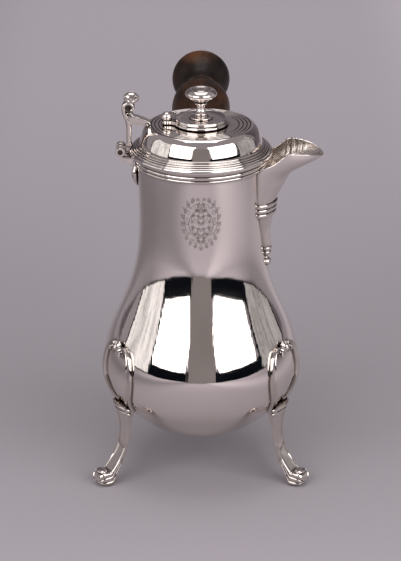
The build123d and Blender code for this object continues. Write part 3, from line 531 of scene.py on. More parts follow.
knob += lath([(3.6, 250.6), (6.8, 252.2), (9.3, 254.0), (10.0, 255.3), (9.2, 257.0), (7.6, 258.2),
              (6.5, 258.5)], (1, 0.3), (-1, 0.0), 34)
knob += bulge((6.4, 258.5), (5.6, 258.2), 0.1, 4)
knob += lath([(5.5, 258.0), (4.9, 257.8), (4.3, 258.0)], (-0.6, -1), (-0.5, 1), 6)
knob += lath([(4.2, 258.1), (2.4, 258.6), (0, 258.8)], (-1, 0.45), (-1, 0), 10)
on_frame(spun("finial_mushroom", knob, silver_lid, 128), "finial", "finial_knob")
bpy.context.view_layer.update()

# %% [markdown]
# ## The turned wooden handle
# A silver socket stands on a round plate on the back of the neck and holds the wooden
# grip. The camera looks almost along the grip, so its swelling and its end knob stand one
# behind the other. The wood is nearly black, waxed and worn to brown where the hand rubs
# it. Its outline is turned about the handle's own axis, which rises a little.

# %% set up the handle's axis
tilt, root_height = radians(6.5), 186.4
root = Vector((0, pear_radius(root_height), root_height))
along_handle = Vector((0, cos(tilt), sin(tilt)))
up_handle = Vector((0, -sin(tilt), cos(tilt)))
handle_place = Matrix.Translation(root) @ Matrix(
    ((-1, 0, 0, 0), (0, up_handle.y, along_handle.y, 0), (0, up_handle.z, along_handle.z, 0), (0, 0, 0, 1)))

# %% mix the wood
def dark_wood(name):
    """Stained hardwood: long grain along the handle, pores, wax and hand wear, with painted shade on the far
    knob below its lit top rim.
    """
    made, tree, shader = new_material(name)
    where = own_space(tree)
    grain = noise(tree, stretched(tree, where, (-tilt, 0, 0), (1.0, 0.07, 1.0)), 170.0, 6.0, 0.65, 0.6)
    pores = noise(tree, stretched(tree, where, (-tilt, 0, 0), (1.0, 0.03, 1.0)), 900.0)
    stained = ramp(tree, grain, ((0.30, (0.004, 0.0025, 0.002)), (0.72, (0.060, 0.024, 0.010))))
    wear = between(tree, noise(tree, where, 22.0, 3.0, 0.55), 0.50, 0.75, 0.0, 0.65)
    brown = mixed(tree, wear, stained, (0.210, 0.075, 0.026, 1))
    # Painted shade and light: the far end knob is darkened nearly to black for the shade in its cove, except
    # its top rim, which keeps its brown where the light catches it.
    split = add(tree, "ShaderNodeSeparateXYZ", {"Vector": where})
    far = between(tree, split.outputs["Y"], 0.165, 0.180, 0.0, 0.85)
    under_the_lit_rim = between(tree, split.outputs["Z"], 0.2185, 0.2235, 1.0, 0.0)
    wood_with_painted_knob_shade = mixed(tree, math_node(tree, "MULTIPLY", far, under_the_lit_rim), brown, (0.004, 0.003, 0.0025, 1))
    relief = math_node(tree, "ADD", pores, math_node(tree, "MULTIPLY", grain, 0.5))
    bump = add(tree, "ShaderNodeBump", {"Distance": 0.10 * mm, "Height": relief})
    feed(tree, shader, {"Base Color": wood_with_painted_knob_shade, "Specular IOR Level": 0.18, "Coat Weight": 0.12,
                        "Coat Roughness": 0.15, "Roughness": between(tree, pores, 0.0, 1.0, 0.36, 0.55),
                        "Normal": bump})
    return made


wood = dark_wood("dark_turned_wood")

# %% turn the grip
grip = [(0, 9.3), (9.15, 9.3), (9.15, 31.05), (11.2, 31.05)]
grip += bulge((11.2, 31.2), (11.2, 33.4), 0.5, 6)
grip += lath([(10.9, 33.6), (9.5, 42.0), (13.4, 74.8), (18.9, 97.0), (20.2, 109.6), (18.6, 119.0),
              (14.0, 129.0), (12.5, 134.9)], (-0.5, 1), (-0.1, 1), 80)
grip += bulge((12.7, 135.1), (12.9, 136.7), 0.5, 6)
grip += lath([(12.9, 136.9), (14.2, 144.0), (19.0, 152.4), (20.6, 159.2), (19.5, 166.0), (14.6, 171.4),
              (8.5, 173.4), (0, 174.0)], (0, 1), (-1, 0), 70)
on_frame(spun("turned_grip", grip, wood, 160, handle_place), "pot", "handle_grip", slot="wood")

# %% turn the socket
socket = [(0, -0.5), (13.0, -0.5), (13.0, 0.6)]
socket += bulge((13.0, 0.7), (12.3, 2.4), 0.5, 6)
socket += lath([(12.0, 2.6), (10.6, 6.0), (10.4, 15.0), (10.8, 23.0), (11.4, 27.0)], (-1, 0.6), (0.3, 1), 26)
socket += bulge((11.4, 27.1), (11.4, 30.9), 1.25, 10)
socket += [(11.2, 31.0), (9.2, 31.0), (9.2, 9.0), (0, 9.0)]
on_frame(spun("handle_socket_turned", socket, silver_cast, 96, handle_place), "pot", "handle_socket")
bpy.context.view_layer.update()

# %% [markdown]
# ## The beak spout
# The beak was made from sheet, so it has a true wall of about one millimetre. Seen from
# above, each height has its own waterline, which runs out from the neck, swells and
# comes to a blunt nose. Low waterlines are short and high ones long, and that alone
# makes the curved keel. The sheet is built as a grid: columns go round from the near side
# over the keel to the far side, and rows go up to the shaped rim. The inner face is the
# outer one moved in, a little more at the upright reeds, and is rubbed less, so it has a
# duller finish.

# %% draw the waterlines
beak_levels = [(176.0, 0.0, 0.73), (188.0, 0.055, 0.82), (200.0, 0.24, 0.91), (208.0, 0.45, 0.97),
               (214.0, 0.81, 1.0), (219.0, 0.995, 1.0), (225.0, 1.0, 1.0)]
beak_shape = [(0, 0.86), (0.35, 1.0), (0.6, 0.92), (0.8, 0.70), (0.94, 0.36), (1.0, 0.0)]
beak_rim = lath([(26, 211.0), (37, 211.4), (45, 214.0), (50, 217.3), (54, 220.6), (58, 221.9), (62, 221.6),
                 (70, 220.3), (74, 219.0), (77, 217.8), (81, 216.2)], steps=200)

beak_root, least_reach, more_reach, half_width = 30, 16.8, 32.2, 18.6
collar_foot, collar_skin = 209.8, 42.2
smooth_levels = np.array(lath(beak_levels, steps=240))


def waterline(z, grow=0.0, columns=220):
    """Near half of the beak at a height, from the body's skin to the keel."""
    share, wide = (float(np.interp(z, smooth_levels[:, 0], smooth_levels[:, k])) for k in (1, 2))
    reach, half = least_reach + share * more_reach + grow, wide * half_width + grow
    line = np.array(lath([(beak_root + a * reach, b * half) for a, b in beak_shape], None, (0, -1), 260))
    skin = pear_radius(z) - 0.2 if z < collar_foot else collar_skin
    start = int(np.argmax(np.hypot(line[:, 0], line[:, 1]) > skin))
    line = line[max(start, 1) - 1:]
    step = np.concatenate([[0], np.cumsum(np.hypot(*np.diff(line, axis=0).T))])
    even = np.linspace(0, step[-1], columns + 1)
    return np.column_stack([np.interp(even, step, line[:, 0]), np.interp(even, step, line[:, 1])])


def rim_height(x):
    """The height of the beak's rim over a distance from the axis."""
    return float(np.interp(x, [p[0] for p in beak_rim], [p[1] for p in beak_rim]))


def beak_point(x, y, z, side=1):
    """A point of the beak, turned onto the spout's own direction."""
    return spout_way * x - spout_side * (y * side) + Vector((0, 0, z))


def row_round(half, z):
    """The points of a whole waterline at a height, from its near half."""
    return [beak_point(x, y, z) for x, y in half] + [beak_point(x, y, z, -1) for x, y in half[-2::-1]]


# %% form the sheet of the beak
columns, rows = 220, 46
beak_foot, beak_step = 177.4, 0.4
stack_z = np.arange(beak_foot, 225.01, beak_step)
stack = np.array([waterline(z, columns=columns) for z in stack_z])
outer = []
for c in range(columns + 1):
    xs, ys = stack[:, c, 0], stack[:, c, 1]
    over = np.array([z - rim_height(x) for z, x in zip(stack_z, xs)])
    top = float(stack_z[np.argmax(over > 0)]) if (over > 0).any() else 221.0
    for z in np.arange(top - beak_step, top + 0.01, 0.02):
        if z - rim_height(float(np.interp(z, stack_z, xs))) > 0:
            top = float(z)
            break
    for v in np.linspace(0, 1, rows + 1):
        z = beak_foot + (top - beak_foot) * (1 - (1 - v) ** 1.25)
        outer.append([float(np.interp(z, stack_z, xs)), float(np.interp(z, stack_z, ys)), z])
outer = np.array(outer).reshape(columns + 1, rows + 1, 3)

# %% move its lining in and close the rim
sheet_wall, reeds_from, reeds_full = 1.05, 210.6, 213.0
reed_at = ((54.3, 0.75), (58.2, 1.25), (61.9, 0.85), (65.6, 0.7))
inner = outer.copy()
for r in range(rows + 1):
    line = outer[:, r, :2]
    ahead = np.gradient(line, axis=0)
    ahead /= np.linalg.norm(ahead, axis=1)[:, None] + 1e-9
    wall = np.full(columns + 1, sheet_wall)
    fade = np.clip((outer[:, r, 2] - reeds_from) / (reeds_full - reeds_from), 0, 1)
    for where, size in reed_at:
        near = np.abs(line[:, 0] - where) / (size * 1.15)
        wall += np.where(near < 1, fade * size * 0.95 * np.sqrt(np.clip(1 - near ** 2, 0, 1)), 0)
    inner[:, r, 0] += wall * ahead[:, 1]
    inner[:, r, 1] -= wall * ahead[:, 0]
inner[-1, :, 1] = 0
inner[:, :, 1] = np.maximum(inner[:, :, 1], 0)
print("beak sheet", outer.shape, "tip", round(float(outer[-1, -1, 0]), 1))


def both_halves(loops):
    """Points and faces of the near and the far half of the beak, from its columns."""
    near, far = ([beak_point(*p, side) for loop in loops for p in loop] for side in (1, -1))
    faces = grid(len(loops), len(loops[0]))
    return both((near, faces), (far, faces))


outside, lip_rise = [], np.array([0, 0, 0.45])
for a, b, column in zip(outer[:, -1], inner[:, -1], outer):
    lip = [a + (b - a) * (0.5 - 0.5 * cos(t)) + lip_rise * sin(t) for t in (pi * k / 6 for k in range(1, 7))]
    outside.append(list(column) + lip)
beak = on_frame(piece_from("beak_spout", *both_halves(outside), silver_lid, 50), "pot", "spout_shell")
lining = on_frame(piece_from("beak_lining", *both_halves(inner), silver_inside, 50), "pot")
print("beak", len(beak.data.polygons) + len(lining.data.polygons), "faces")

# %% [markdown]
# ## The band, tail and drop
# Three reeds are soldered round the throat of the beak. Below them a plain tapering tail
# follows the neck down to a turned drop of two rings, a ball and a tip. The reeds lie on
# the beak's own waterlines, grown by their thickness. The tail and the drop are let a
# little into the neck's skin.

# %% run the reeds round the throat
band_height, band_columns = 9.6, 90


def reeded(z):
    """How far three equal reeds stand out at a height."""
    share = (z - beak_foot) / (band_height / 3) % 1.0
    deep = 0.15 + 1.15 * sqrt(max(0.0, 1 - (2 * share - 1) ** 2))
    return deep if beak_foot < z < beak_foot + band_height else 0.1


heights = [beak_foot + band_height * k / 48 for k in range(49)]
points = [p for z in heights for p in row_round(waterline(z, reeded(z), band_columns), z)]
wide = 2 * band_columns + 1
starts = range(0, len(points), wide)
faces = grid(len(heights), wide) + [tuple(range(wide)), tuple(range(starts[-1], len(points)))[::-1]]
faces.append(tuple(starts)[::-1] + tuple(r + wide - 1 for r in starts))
on_frame(piece_from("throat_reeds", points, faces, silver_cast, 50), "pot", "spout_band")

# %% draw the tail down the neck
tail_shape = lath([(177.4, 46.5, 11.7), (167.0, 44.9, 8.4), (154.4, 45.2, 4.1)], steps=40)
points, count, sunk = [], 31, 0.25
for z, nose, half in tail_shape:
    side_line = lath([(beak_root, half), (0.5 * (beak_root + nose) + 2, half), (nose - 1.6, 0.55 * half),
                      (nose, 0)], (1, 0), (0, -1), 120)
    line = [p for p in side_line if hypot(*p) > pear_radius(z) - sunk]
    points += row_round([line[int(round(k * (len(line) - 1) / (count - 1)))] for k in range(count)], z)
faces = grid(len(tail_shape), 2 * count - 1, loop=True, caps=True)
on_frame(piece_from("spout_tail_plain", points, faces, silver_cast, 50), "pot", "spout_tail")

# %% turn the drop and seat it on the neck
drop = [(0, 154.6), (3.4, 154.6)]
drop += bulge((3.6, 154.4), (3.3, 151.6), -0.75) + bulge((3.3, 151.4), (2.9, 148.9), -0.75)
drop += lath([(2.7, 148.7), (1.7, 147.6), (2.0, 146.6)], steps=6)
drop += [(3.95 * cos(a), 143.7 + 3.1 * sin(a)) for a in np.linspace(radians(62), radians(-52), 16)]
drop += lath([(1.9, 141.4), (1.2, 140.3), (1.1, 139.2), (0.6, 138.6)], steps=6) + [(0, 138.5)]
centre = spout_way * (pear_radius(154.4) + 0.9)
drop_piece = spun("spout_drop_turned", drop, silver_cast, 64, Matrix.Translation(centre))
seat = 0.5
for v in drop_piece.data.vertices:
    flat = hypot(v.co.x, v.co.y) / mm
    skin = pear_radius(v.co.z / mm) - seat
    if flat < skin:
        v.co.x, v.co.y = v.co.x * skin / flat, v.co.y * skin / flat
on_frame(drop_piece, "pot", "spout_drop")
print("spout done")

# %% [markdown]
# ## The three feet
# Each foot is a casting. A leg sweeps down from the belly to an upturned toe that looks
# like three thin layers; above it a flat panel lies on the belly between two straps that
# curl into volutes, with a small fan of leaves on top. One foot is modelled pointing
# along +X. Geometry Nodes then turn a copy to each of the three places, because the feet
# repeat round the pot by one rule.

# %% a tree that stands a piece at an angle round the pot
shape_socket = ("Geometry", "NodeSocketGeometry")
finish_socket = ("Finish", "NodeSocketMaterial")


def send_out(tree, shape, start, end):
    """Make a tree's instances real, give them the finish and send them out."""
    real = add(tree, "GeometryNodeRealizeInstances", {"Geometry": shape})
    paint = add(tree, "GeometryNodeSetMaterial", {"Geometry": real, "Material": start.outputs["Finish"]})
    feed(tree, end, {"Geometry": paint})


def run_tree(made, tree, values):
    """Put the tree on a piece, set its inputs, and keep the result as a plain mesh."""
    step = made.modifiers.new(tree.name, "NODES")
    step.node_group = tree
    for item in tree.interface.items_tree:
        if item.item_type == "SOCKET" and item.in_out == "INPUT" and item.name in values:
            step[item.identifier] = values[item.name]
    return frozen(made)


ring_tree, start, end = new_group("stand_round_the_pot", "GeometryNodeTree", [
    shape_socket, ("First azimuth", number, 0.0), ("Step", number, 0.0), ("Count", "NodeSocketInt", 1),
    finish_socket], [shape_socket])
places = add(ring_tree, "GeometryNodeMeshLine", {"Offset": (0, 0, 0), "Count": start.outputs["Count"]})
index = ring_tree.nodes.new("GeometryNodeInputIndex")
angle = math_node(ring_tree, "MULTIPLY_ADD", index, start.outputs["Step"], start.outputs["First azimuth"])
euler = add(ring_tree, "ShaderNodeCombineXYZ", {"Z": math_node(ring_tree, "RADIANS", angle)})
copies = add(ring_tree, "GeometryNodeInstanceOnPoints", {
    "Points": places, "Instance": start.outputs["Geometry"], "Rotation": euler})
send_out(ring_tree, copies, start, end)
foot_azimuths = {"left": 210.0, "right": 330.0, "rear": 90.0}


def on_three_feet(name, shape, material, node_name, sharp=35):
    """One shape, turned to the three feet as three separate pieces."""
    made = []
    for side, azimuth in foot_azimuths.items():
        one = piece_from(name + "_" + side, *shape, material, sharp)
        run_tree(one, ring_tree, {"First azimuth": azimuth, "Count": 1, "Finish": material})
        smooth(one.data, sharp)
        stands = [node_name + "_" + side] if node_name else []
        made.append(on_frame(one, "pot", *stands))
    return made


def rising(value, low, high):
    """How far a value is on its way from low to high, from 0 to 1."""
    return min(1.0, max(0.0, (value - low) / (high - low)))


# %% sweep the leg from belly to toe
leg_line = lath([
    # back radius and height, front radius and height, half width
    (52.6, 54.5, 61.8, 54.5, 9.6), (55.2, 47.0, 60.1, 47.5, 8.0), (56.0, 40.0, 59.1, 40.5, 6.5),
    (56.5, 33.0, 59.0, 33.5, 5.9), (57.9, 26.0, 60.2, 26.5, 5.7), (60.0, 19.4, 62.7, 20.5, 5.6),
    (63.2, 12.1, 66.4, 14.6, 5.6), (66.4, 6.2, 69.3, 10.9, 5.7), (68.4, 1.6, 71.6, 9.5, 5.9),
    (70.2, 0.0, 74.2, 9.7, 6.0), (73.0, 0.0, 77.0, 9.2, 5.7), (75.2, 0.1, 78.7, 7.9, 4.9),
    (76.9, 1.1, 79.7, 6.0, 3.6), (78.4, 2.7, 79.9, 4.6, 1.7)], steps=120)
toe_grows, tip_grows = (0.55, 0.67), (0.75, 0.85)
points = []
for k, (bx, bz, fx, fz, half) in enumerate(leg_line):
    t, bz = k / (len(leg_line) - 1), max(bz, 0.0)
    toe = rising(t, *toe_grows)
    dish = 0.85 * (1 - 0.6 * toe) / hypot(fx - bx, fz - bz)
    flank = []
    for d in np.linspace(0, 1, 25):
        side = 1.0 - toe * 0.13 * (1 - sqrt(abs(sin(3 * pi * d))))
        side *= 1 - 0.22 * max(0.0, 1 - min(d, 1 - d) / 0.10) ** 2 * (1 - 0.6 * toe)
        flank.append((side, d))
    front = [(0.90 * s, 1.02 - dish * (1 - abs(s) ** 5)) for s in np.linspace(1, -1, 13)[1:-1]]
    section = [(s, 0.0) for s in (-0.72, -0.4, 0.0, 0.4, 0.72)] + flank + front
    section += [(-s, d) for s, d in flank[::-1]]
    for s, d in section:
        push = 0.0
        if toe and 0 < d < 1:
            push = -0.6 * toe * (1 - sqrt(abs(sin(3 * pi * d)))) * rising(t, *tip_grows)
        points.append((bx + (fx - bx) * d + push, s * half, bz + (fz - bz) * d))
legs = on_three_feet("scroll_leg", (points, grid(len(leg_line), len(section), loop=True, caps=True)),
                     silver_cast, "foot_leg", 42)
pad = ball(Vector((75.0, 0, 9.9)), Vector((3.1, 0, -0.12)), Vector((0, 4.7, 0)), Vector((0, 0, 1.35)),
           np.linspace(0, pi, 13), 32)
on_three_feet("toe_pad", pad, silver_cast, None, 60)
print("leg", len(legs[0].data.polygons), "faces")

# %% [markdown]
# ### Straps, volutes and leaves
# Everything on the belly is drawn on the belly's own skin: a point is given as a distance
# across, a height, and how far it stands out. A strap is a flat band with a bead along
# each edge, swept along such a line. Its end narrows and curls in as a volute round a
# small round button.

# %% sweep a moulding along a line on the belly
def on_belly(across, height, out):
    """A point on the belly of a foot that points along +X."""
    r = pear_radius(height)
    angle = across / r
    return Vector(((r + out) * cos(angle), (r + out) * sin(angle), height))


def swept(path, ups, profile, sizes=None, talls=None):
    """Points and faces of a profile swept along a path with given up directions."""
    points = []
    for k, (place, up) in enumerate(zip(path, ups)):
        a, b = path[max(k - 1, 0)], path[min(k + 1, len(path) - 1)]
        ahead = (b - a).normalized()
        up = (up - ahead * up.dot(ahead)).normalized()
        across = ahead.cross(up)
        size = 1.0 if sizes is None else sizes[k]
        tall = size if talls is None else talls[k]
        points += [place + across * (s * size) + up * (u * tall) for s, u in profile]
    return points, grid(len(path), len(profile), loop=True, caps=True)


def rod(radius, count, tall=None):
    """The profile of a round rod, or of an oval one."""
    return [(radius * cos(a), (tall or radius) * sin(a)) for a in circle(count)]


strap_line = lath([(7.6, 53.4), (9.0, 57.0), (12.6, 64.0), (15.4, 71.0), (16.1, 77.0), (15.4, 83.4),
                   (13.9, 89.0), (11.6, 93.0), (8.7, 95.6), (6.0, 96.0), (4.2, 94.3), (4.6, 92.4),
                   (6.3, 91.7), (7.9, 92.8), (7.9, 94.3)], steps=170)
band = [(-2.8, -0.5), (-2.8, 1.5), (-2.6, 1.85), (-2.3, 1.9), (-1.9, 1.65), (-1.2, 1.4)]
band += [(0.0, 1.3)] + [(-s, u) for s, u in band[::-1]]
eye_across, eye_height = 6.2, 93.9
shield, upright = ([], []), Vector((0, 0, 1))
for side in (1, -1):
    path, ups, sizes, talls = [], [], [], []
    for k, (across, height) in enumerate(strap_line):
        t = k / (len(strap_line) - 1)
        path.append(on_belly(side * across, height, 0.2))
        ups.append(on_belly(side * across, height, 1.2) - path[-1])
        sizes.append(float(np.interp(t, (0, 0.4, 0.56, 0.72, 1.0), (0.98, 1.0, 0.80, 0.50, 0.26))))
        talls.append(float(np.interp(t, (0, 0.5, 0.75, 1.0), (1.0, 1.0, 1.35, 1.45))))
    eye = on_belly(side * eye_across, eye_height, 0)
    out = (on_belly(side * eye_across, eye_height, 1) - eye).normalized()
    button = ball(eye + out * 0.6, upright.cross(out).normalized() * 1.3, upright * 1.3, out * 2.5,
                  np.linspace(pi / 2, 0, 7), 16)
    shield = both(both(shield, swept(path, ups, band, sizes, talls)), button)
on_three_feet("foot_cartouche", shield, silver_cast, "foot_shield", 50)

# %% lay the plain field between the straps
field_heights = (53, 57, 64, 71, 77, 83.4, 89, 93, 95.5)
field_edges = (7.0, 9.0, 12.6, 15.4, 16.1, 15.4, 13.9, 9.5, 4.5)
proud, buried = 0.35, -0.5
points, shares, heights = [], np.linspace(-1, 1, 25), np.linspace(53.6, 95.0, 40)
for height in heights:
    edge = float(np.interp(height, field_heights, field_edges))
    points += [on_belly(s * edge, height, proud) for s in shares]
    points += [on_belly(s * edge, height, buried) for s in shares[::-1]]
field = (points, grid(len(heights), 2 * len(shares), loop=True, caps=True))
on_three_feet("foot_field", field, silver_body, None, 50)

# %% fan the leaves over the volutes
leaf = [(1.25 * cos(a), 0.9 * max(sin(a), -0.5) * (1 - 0.35 * (abs(cos(a)) < 0.3))) for a in circle(14)]
fan = ([], [])
for lobe in range(-2, 3):
    lean, long = radians(33 * lobe), 5.4 - 0.35 * abs(lobe)
    path, ups, sizes = [], [], []
    for t in np.linspace(0, 1, 15):
        across, height = long * t * sin(lean), 93.6 + long * t * cos(lean)
        lift = 0.8 + 2.6 * sin(pi * (0.25 + 0.55 * t))
        path.append(on_belly(across, height, lift - 0.6))
        ups.append(on_belly(across, height, lift + 1) - path[-1])
        sizes.append(0.45 + 0.95 * sin(pi * min(0.97, 0.12 + 0.80 * t)))
    fan = both(fan, swept(path, ups, leaf, sizes))
on_three_feet("foot_leaf_fan", fan, silver_cast, "foot_palmette", 50)

# %% bind the top of the leg with two reeds
ties = ([], [])
for height, reach, half in ((50.0, 60.6, 9.8), (53.3, 61.5, 10.6)):
    steps = np.linspace(-half, half, 25)
    path = [Vector((reach - 0.022 * y * y, y, height)) for y in steps]
    sizes = [min(1.0, 0.45 + 1.6 * (1 - abs(y) / half)) for y in steps]
    ties = both(ties, swept(path, [upright] * len(path), rod(1.45, 16), sizes))
on_three_feet("leg_tie_reeds", ties, silver_cast, None, 50)
print("feet done")

# %% [markdown]
# ## The hinge and the thumbpiece
# The hinge is a barrel of three knuckles on one pin: two belong to the body and the
# middle one to the lid. The pin is near black, as painted shade for the gaps between the
# knuckles. A little leaf hangs below it. The thumbpiece stands on the lid's edge right at
# the hinge, so that a thumb on it swings the lid up: a strap rises, curls over and ends in
# a roll with an oval boss on top, and a wing runs down to the dome. The roll is solid, and
# its piercing is painted near black as painted shade.

# %% turn the knuckles
hinge_turn = Matrix.Rotation(-pi / 2, 4, "X")
hinge_place = Matrix.Translation((-51.0, 0, 218.8)) @ hinge_turn


def knuckle(name, low, high):
    """One barrel of the hinge between two places along the pin, with beaded ends."""
    outline = [(1.7, low + 0.9), (1.7, low), (2.5, low)]
    outline += bulge((2.7, low), (2.7, low + 0.8), 0.4, 6)[1:] + [(2.9, low + 0.9)]
    outline += [(2.95, high - 0.9)] + bulge((2.7, high - 0.8), (2.7, high), 0.4, 6)[:-1]
    outline += [(2.5, high), (1.7, high), (1.7, high - 0.9), (1.25, high - 1.0), (1.25, low + 1.0)]
    return spun(name, outline, silver_cast, 48, hinge_place)


def slab(name, outline, low, high, soften=0.25):
    """A side outline of (x, z) given a width along Y, with softened edges."""
    shape = prism(*([(x, y, z) for x, z in outline] for y in (low, high)))
    made = piece_from(name, *shape, silver_cast, 40)
    soft = made.modifiers.new("soft", "BEVEL")
    soft.width, soft.segments, soft.limit_method, soft.angle_limit = soften * mm, 3, "ANGLE", radians(30)
    smooth(frozen(made).data, 40)
    return made


on_frame(knuckle("knuckle_near", -7.5, -2.7), "pot", "hinge_body_leaf")
on_frame(knuckle("knuckle_middle", -2.4, 2.4), "lid", "hinge_lid_leaf")
on_frame(knuckle("knuckle_far", 2.7, 7.5), "pot")
arm = [(-42.7, 215.4), (-42.7, 208.6), (-46.0, 211.4), (-50.0, 214.6), (-53.2, 217.0), (-52.0, 216.6),
       (-50.2, 216.2), (-48.4, 215.4)]
on_frame(slab("hinge_arm_near", arm, -7.4, -2.8), "pot")
on_frame(slab("hinge_arm_far", arm, 2.8, 7.4), "pot")
tongue = [(-49.4, 220.8), (-46.0, 221.3), (-43.5, 221.0), (-43.5, 217.2), (-46.0, 217.1), (-48.8, 217.2)]
on_frame(slab("hinge_tongue", tongue, -2.3, 2.3), "lid")

# %% draw the pin and the hanging leaf
# Painted shade: the hinge pin and the thumbpiece's roll get a near-black silver for the shade in the knuckle
# gaps and inside the pierced roll.
painted_gap_shade = metal("silver_painted_gap_shade", (0.10, 0.085, 0.075), (0.02, 0.015, 0.012), 0.3, 0.5, 0.006, 0.1)
pin_line = [(0, -6.9), (1.15, -6.9), (1.15, 6.9), (0, 6.9)]
on_frame(spun("hinge_pin_rod", pin_line, painted_gap_shade, 32, hinge_place), "pot", "hinge_pin")
path, sizes = [], []
for t in np.linspace(0, 1, 30):
    height = 207.6 - 13.0 * t
    out = 0.3 + 3.1 * sin(pi * (0.18 + 0.80 * t)) ** 1.2
    path.append(Vector((-pear_radius(height) - out * 0.5, 0, height)))
    sizes.append(0.25 + 1.2 * sin(pi * (0.12 + 0.85 * t)))
hanging = swept(path, [Vector((-1, 0, 0))] * len(path), rod(1.9, 24, 1.55), sizes)
on_frame(piece_from("hinge_leaf_drop", *hanging, silver_cast, 50), "pot", "hinge_drop")

# %% bend the thumbpiece
curl = lath([(-45.6, 221.7), (-45.6, 228.0), (-45.65, 235.2), (-46.4, 238.7), (-48.0, 242.2), (-48.75, 245.5),
             (-48.1, 248.3), (-46.2, 249.5), (-44.0, 249.0), (-42.8, 247.4), (-42.9, 245.8), (-44.0, 244.9)],
            (0, 1), steps=150)
path = [Vector((x, 0, z)) for x, z in curl]
sizes = [float(np.interp(t, (0, 0.03, 0.06, 0.35, 0.6, 1.0), (1.8, 1.7, 1.35, 1.5, 1.3, 0.8)))
         for t in np.linspace(0, 1, len(path))]
flat = [(1.15 * np.sign(cos(a)) * abs(cos(a)) ** 0.7, 3.5 * np.sign(sin(a)) * abs(sin(a)) ** 0.45)
        for a in circle(32)]
strap = swept(path, [Vector((0, 1, 0))] * len(path), flat, sizes, [1.0] * len(path))
on_frame(piece_from("thumbpiece_scroll", *strap, silver_cast, 50), "lid", "thumbpiece")
wing = [(-46.4, 235.3), (-44.1, 235.4), (-39.7, 235.6), (-36.4, 235.1), (-34.9, 233.6), (-31.9, 234.9),
        (-31.7, 236.3)]
wing += lath([(-32.6, 237.6), (-34.6, 238.6), (-37.1, 239.6), (-40.2, 240.7), (-43.1, 242.1), (-44.0, 243.9)],
             steps=24)
wing += [(-46.6, 243.6), (-47.6, 241.0), (-46.4, 238.0)]
on_frame(slab("thumbpiece_wing", wing, -3.3, 3.3, 0.35), "lid")
roll = [(0.0, -2.6), (2.1, -3.0), (2.35, -3.3), (2.7, -3.4), (2.8, -3.1)]
roll += [(r, -z) for r, z in roll[::-1]]
roll_place = Matrix.Translation((-45.3, 0, 246.7)) @ hinge_turn
on_frame(spun("thumbpiece_roll", roll, painted_gap_shade, 48, roll_place), "lid")
end = [(0, -4.0), (1.0, -4.0), (1.3, -3.6), (1.9, -3.5), (2.3, -3.7), (3.9, -3.3)]
boss = end + [(4.9 * cos(a) ** 0.8, 3.3 * sin(a)) for a in np.linspace(-0.9, 0.9, 12)]
boss += [(r, -z) for r, z in end[::-1]]
oval = Matrix.Translation((-43.9, 0, 252.6)) @ hinge_turn @ Matrix.Diagonal((1.0, 0.76, 1.0, 1.0))
on_frame(spun("thumbpiece_boss", boss, silver_cast, 64, oval), "lid")
print("hinge done")

# %% [markdown]
# ## The engraved ornament
# The front of the neck carries a finely cut ornament, about as wide as a thumb. This one
# is a plain symmetrical spray of leaves and scrolls. An engraved line is a V-shaped cut,
# which looks like a thin dark and bright hair. Each cut is a narrow furrow swept on the
# neck's skin, a quarter of a millimetre wide, so it stays crisp from any side. Half of it
# is drawn and Geometry Nodes mirror it.

# %% cut the spray
def on_neck(across, height, out=0.0):
    """A point on the front of the neck, given as seen from the front."""
    r = pear_radius(height) + out
    angle = across / pear_radius(height)
    return Vector((r * sin(angle), -r * cos(angle), height))


strokes = []


def stroke(points, wide=0.16):
    """Remember one engraved cut through a few points, thin at both ends."""
    strokes.append((lath(points, steps=max(10, 5 * len(points))), wide))


def leaf_cut(x, y, way, long, fat=0.28):
    """A pointed leaf: two sides and a middle vein."""
    c, s = long * cos(radians(way)), long * sin(radians(way))
    for side in (fat, -fat):
        stroke([(x, y), (x + 0.45 * c - side * s, y + 0.45 * s + side * c), (x + c, y + s)], 0.12)
    stroke([(x + 0.15 * c, y + 0.15 * s), (x + 0.8 * c, y + 0.8 * s)], 0.08)


def scroll_cut(x, y, radius, first, turns, wide=0.15):
    """A spiral cut that winds in to its eye."""
    line = []
    for k in range(int(14 * abs(turns)) + 1):
        t = k / (14 * abs(turns))
        a = radians(first + 360 * turns * t)
        r = radius * (1 - 0.86 * t)
        line.append((x + r * cos(a), y + r * sin(a)))
    strokes.append((line, wide))


for scroll in ((3.4, 186.5, 3.0, 250, 1.6), (4.2, 178.6, 3.4, 90, -1.7), (3.0, 194.4, 2.2, 260, 1.4),
               (7.9, 190.6, 1.7, 200, 1.3), (8.3, 183.2, 1.9, 160, -1.4), (3.2, 171.2, 2.0, 100, -1.3)):
    scroll_cut(*scroll)
stroke([(0.4, 168.0), (1.4, 172.5), (4.2, 176.0), (7.4, 180.5), (7.0, 186.0), (4.6, 190.0), (2.0, 193.6),
        (0.6, 198.6)])
stroke([(0.7, 170.0), (3.6, 174.2), (8.2, 177.0), (10.2, 181.8), (10.6, 187.4), (9.0, 193.4), (5.8, 197.6)])
stroke([(0.5, 182.6), (1.6, 185.2), (1.5, 188.8), (0.5, 192.0)])
leaves = ((10.0, 179.0, -20, 2.7), (10.6, 183.0, 10, 2.4), (10.6, 187.6, 25, 2.6), (9.6, 191.8, 45, 2.8),
          (7.6, 195.6, 60, 3.0), (4.6, 197.8, 80, 2.8), (7.6, 176.2, -45, 2.9), (5.2, 173.2, -55, 2.9),
          (2.6, 169.8, -60, 2.6), (6.4, 187.6, 150, 2.3), (5.9, 181.2, 200, 2.0), (2.4, 190.6, 100, 2.3),
          (2.2, 175.6, 80, 2.4), (5.6, 193.2, 20, 2.0), (8.0, 186.6, -30, 1.7))
for x, y, way, long in leaves:
    leaf_cut(x, y, way, long)
heart = 183.2
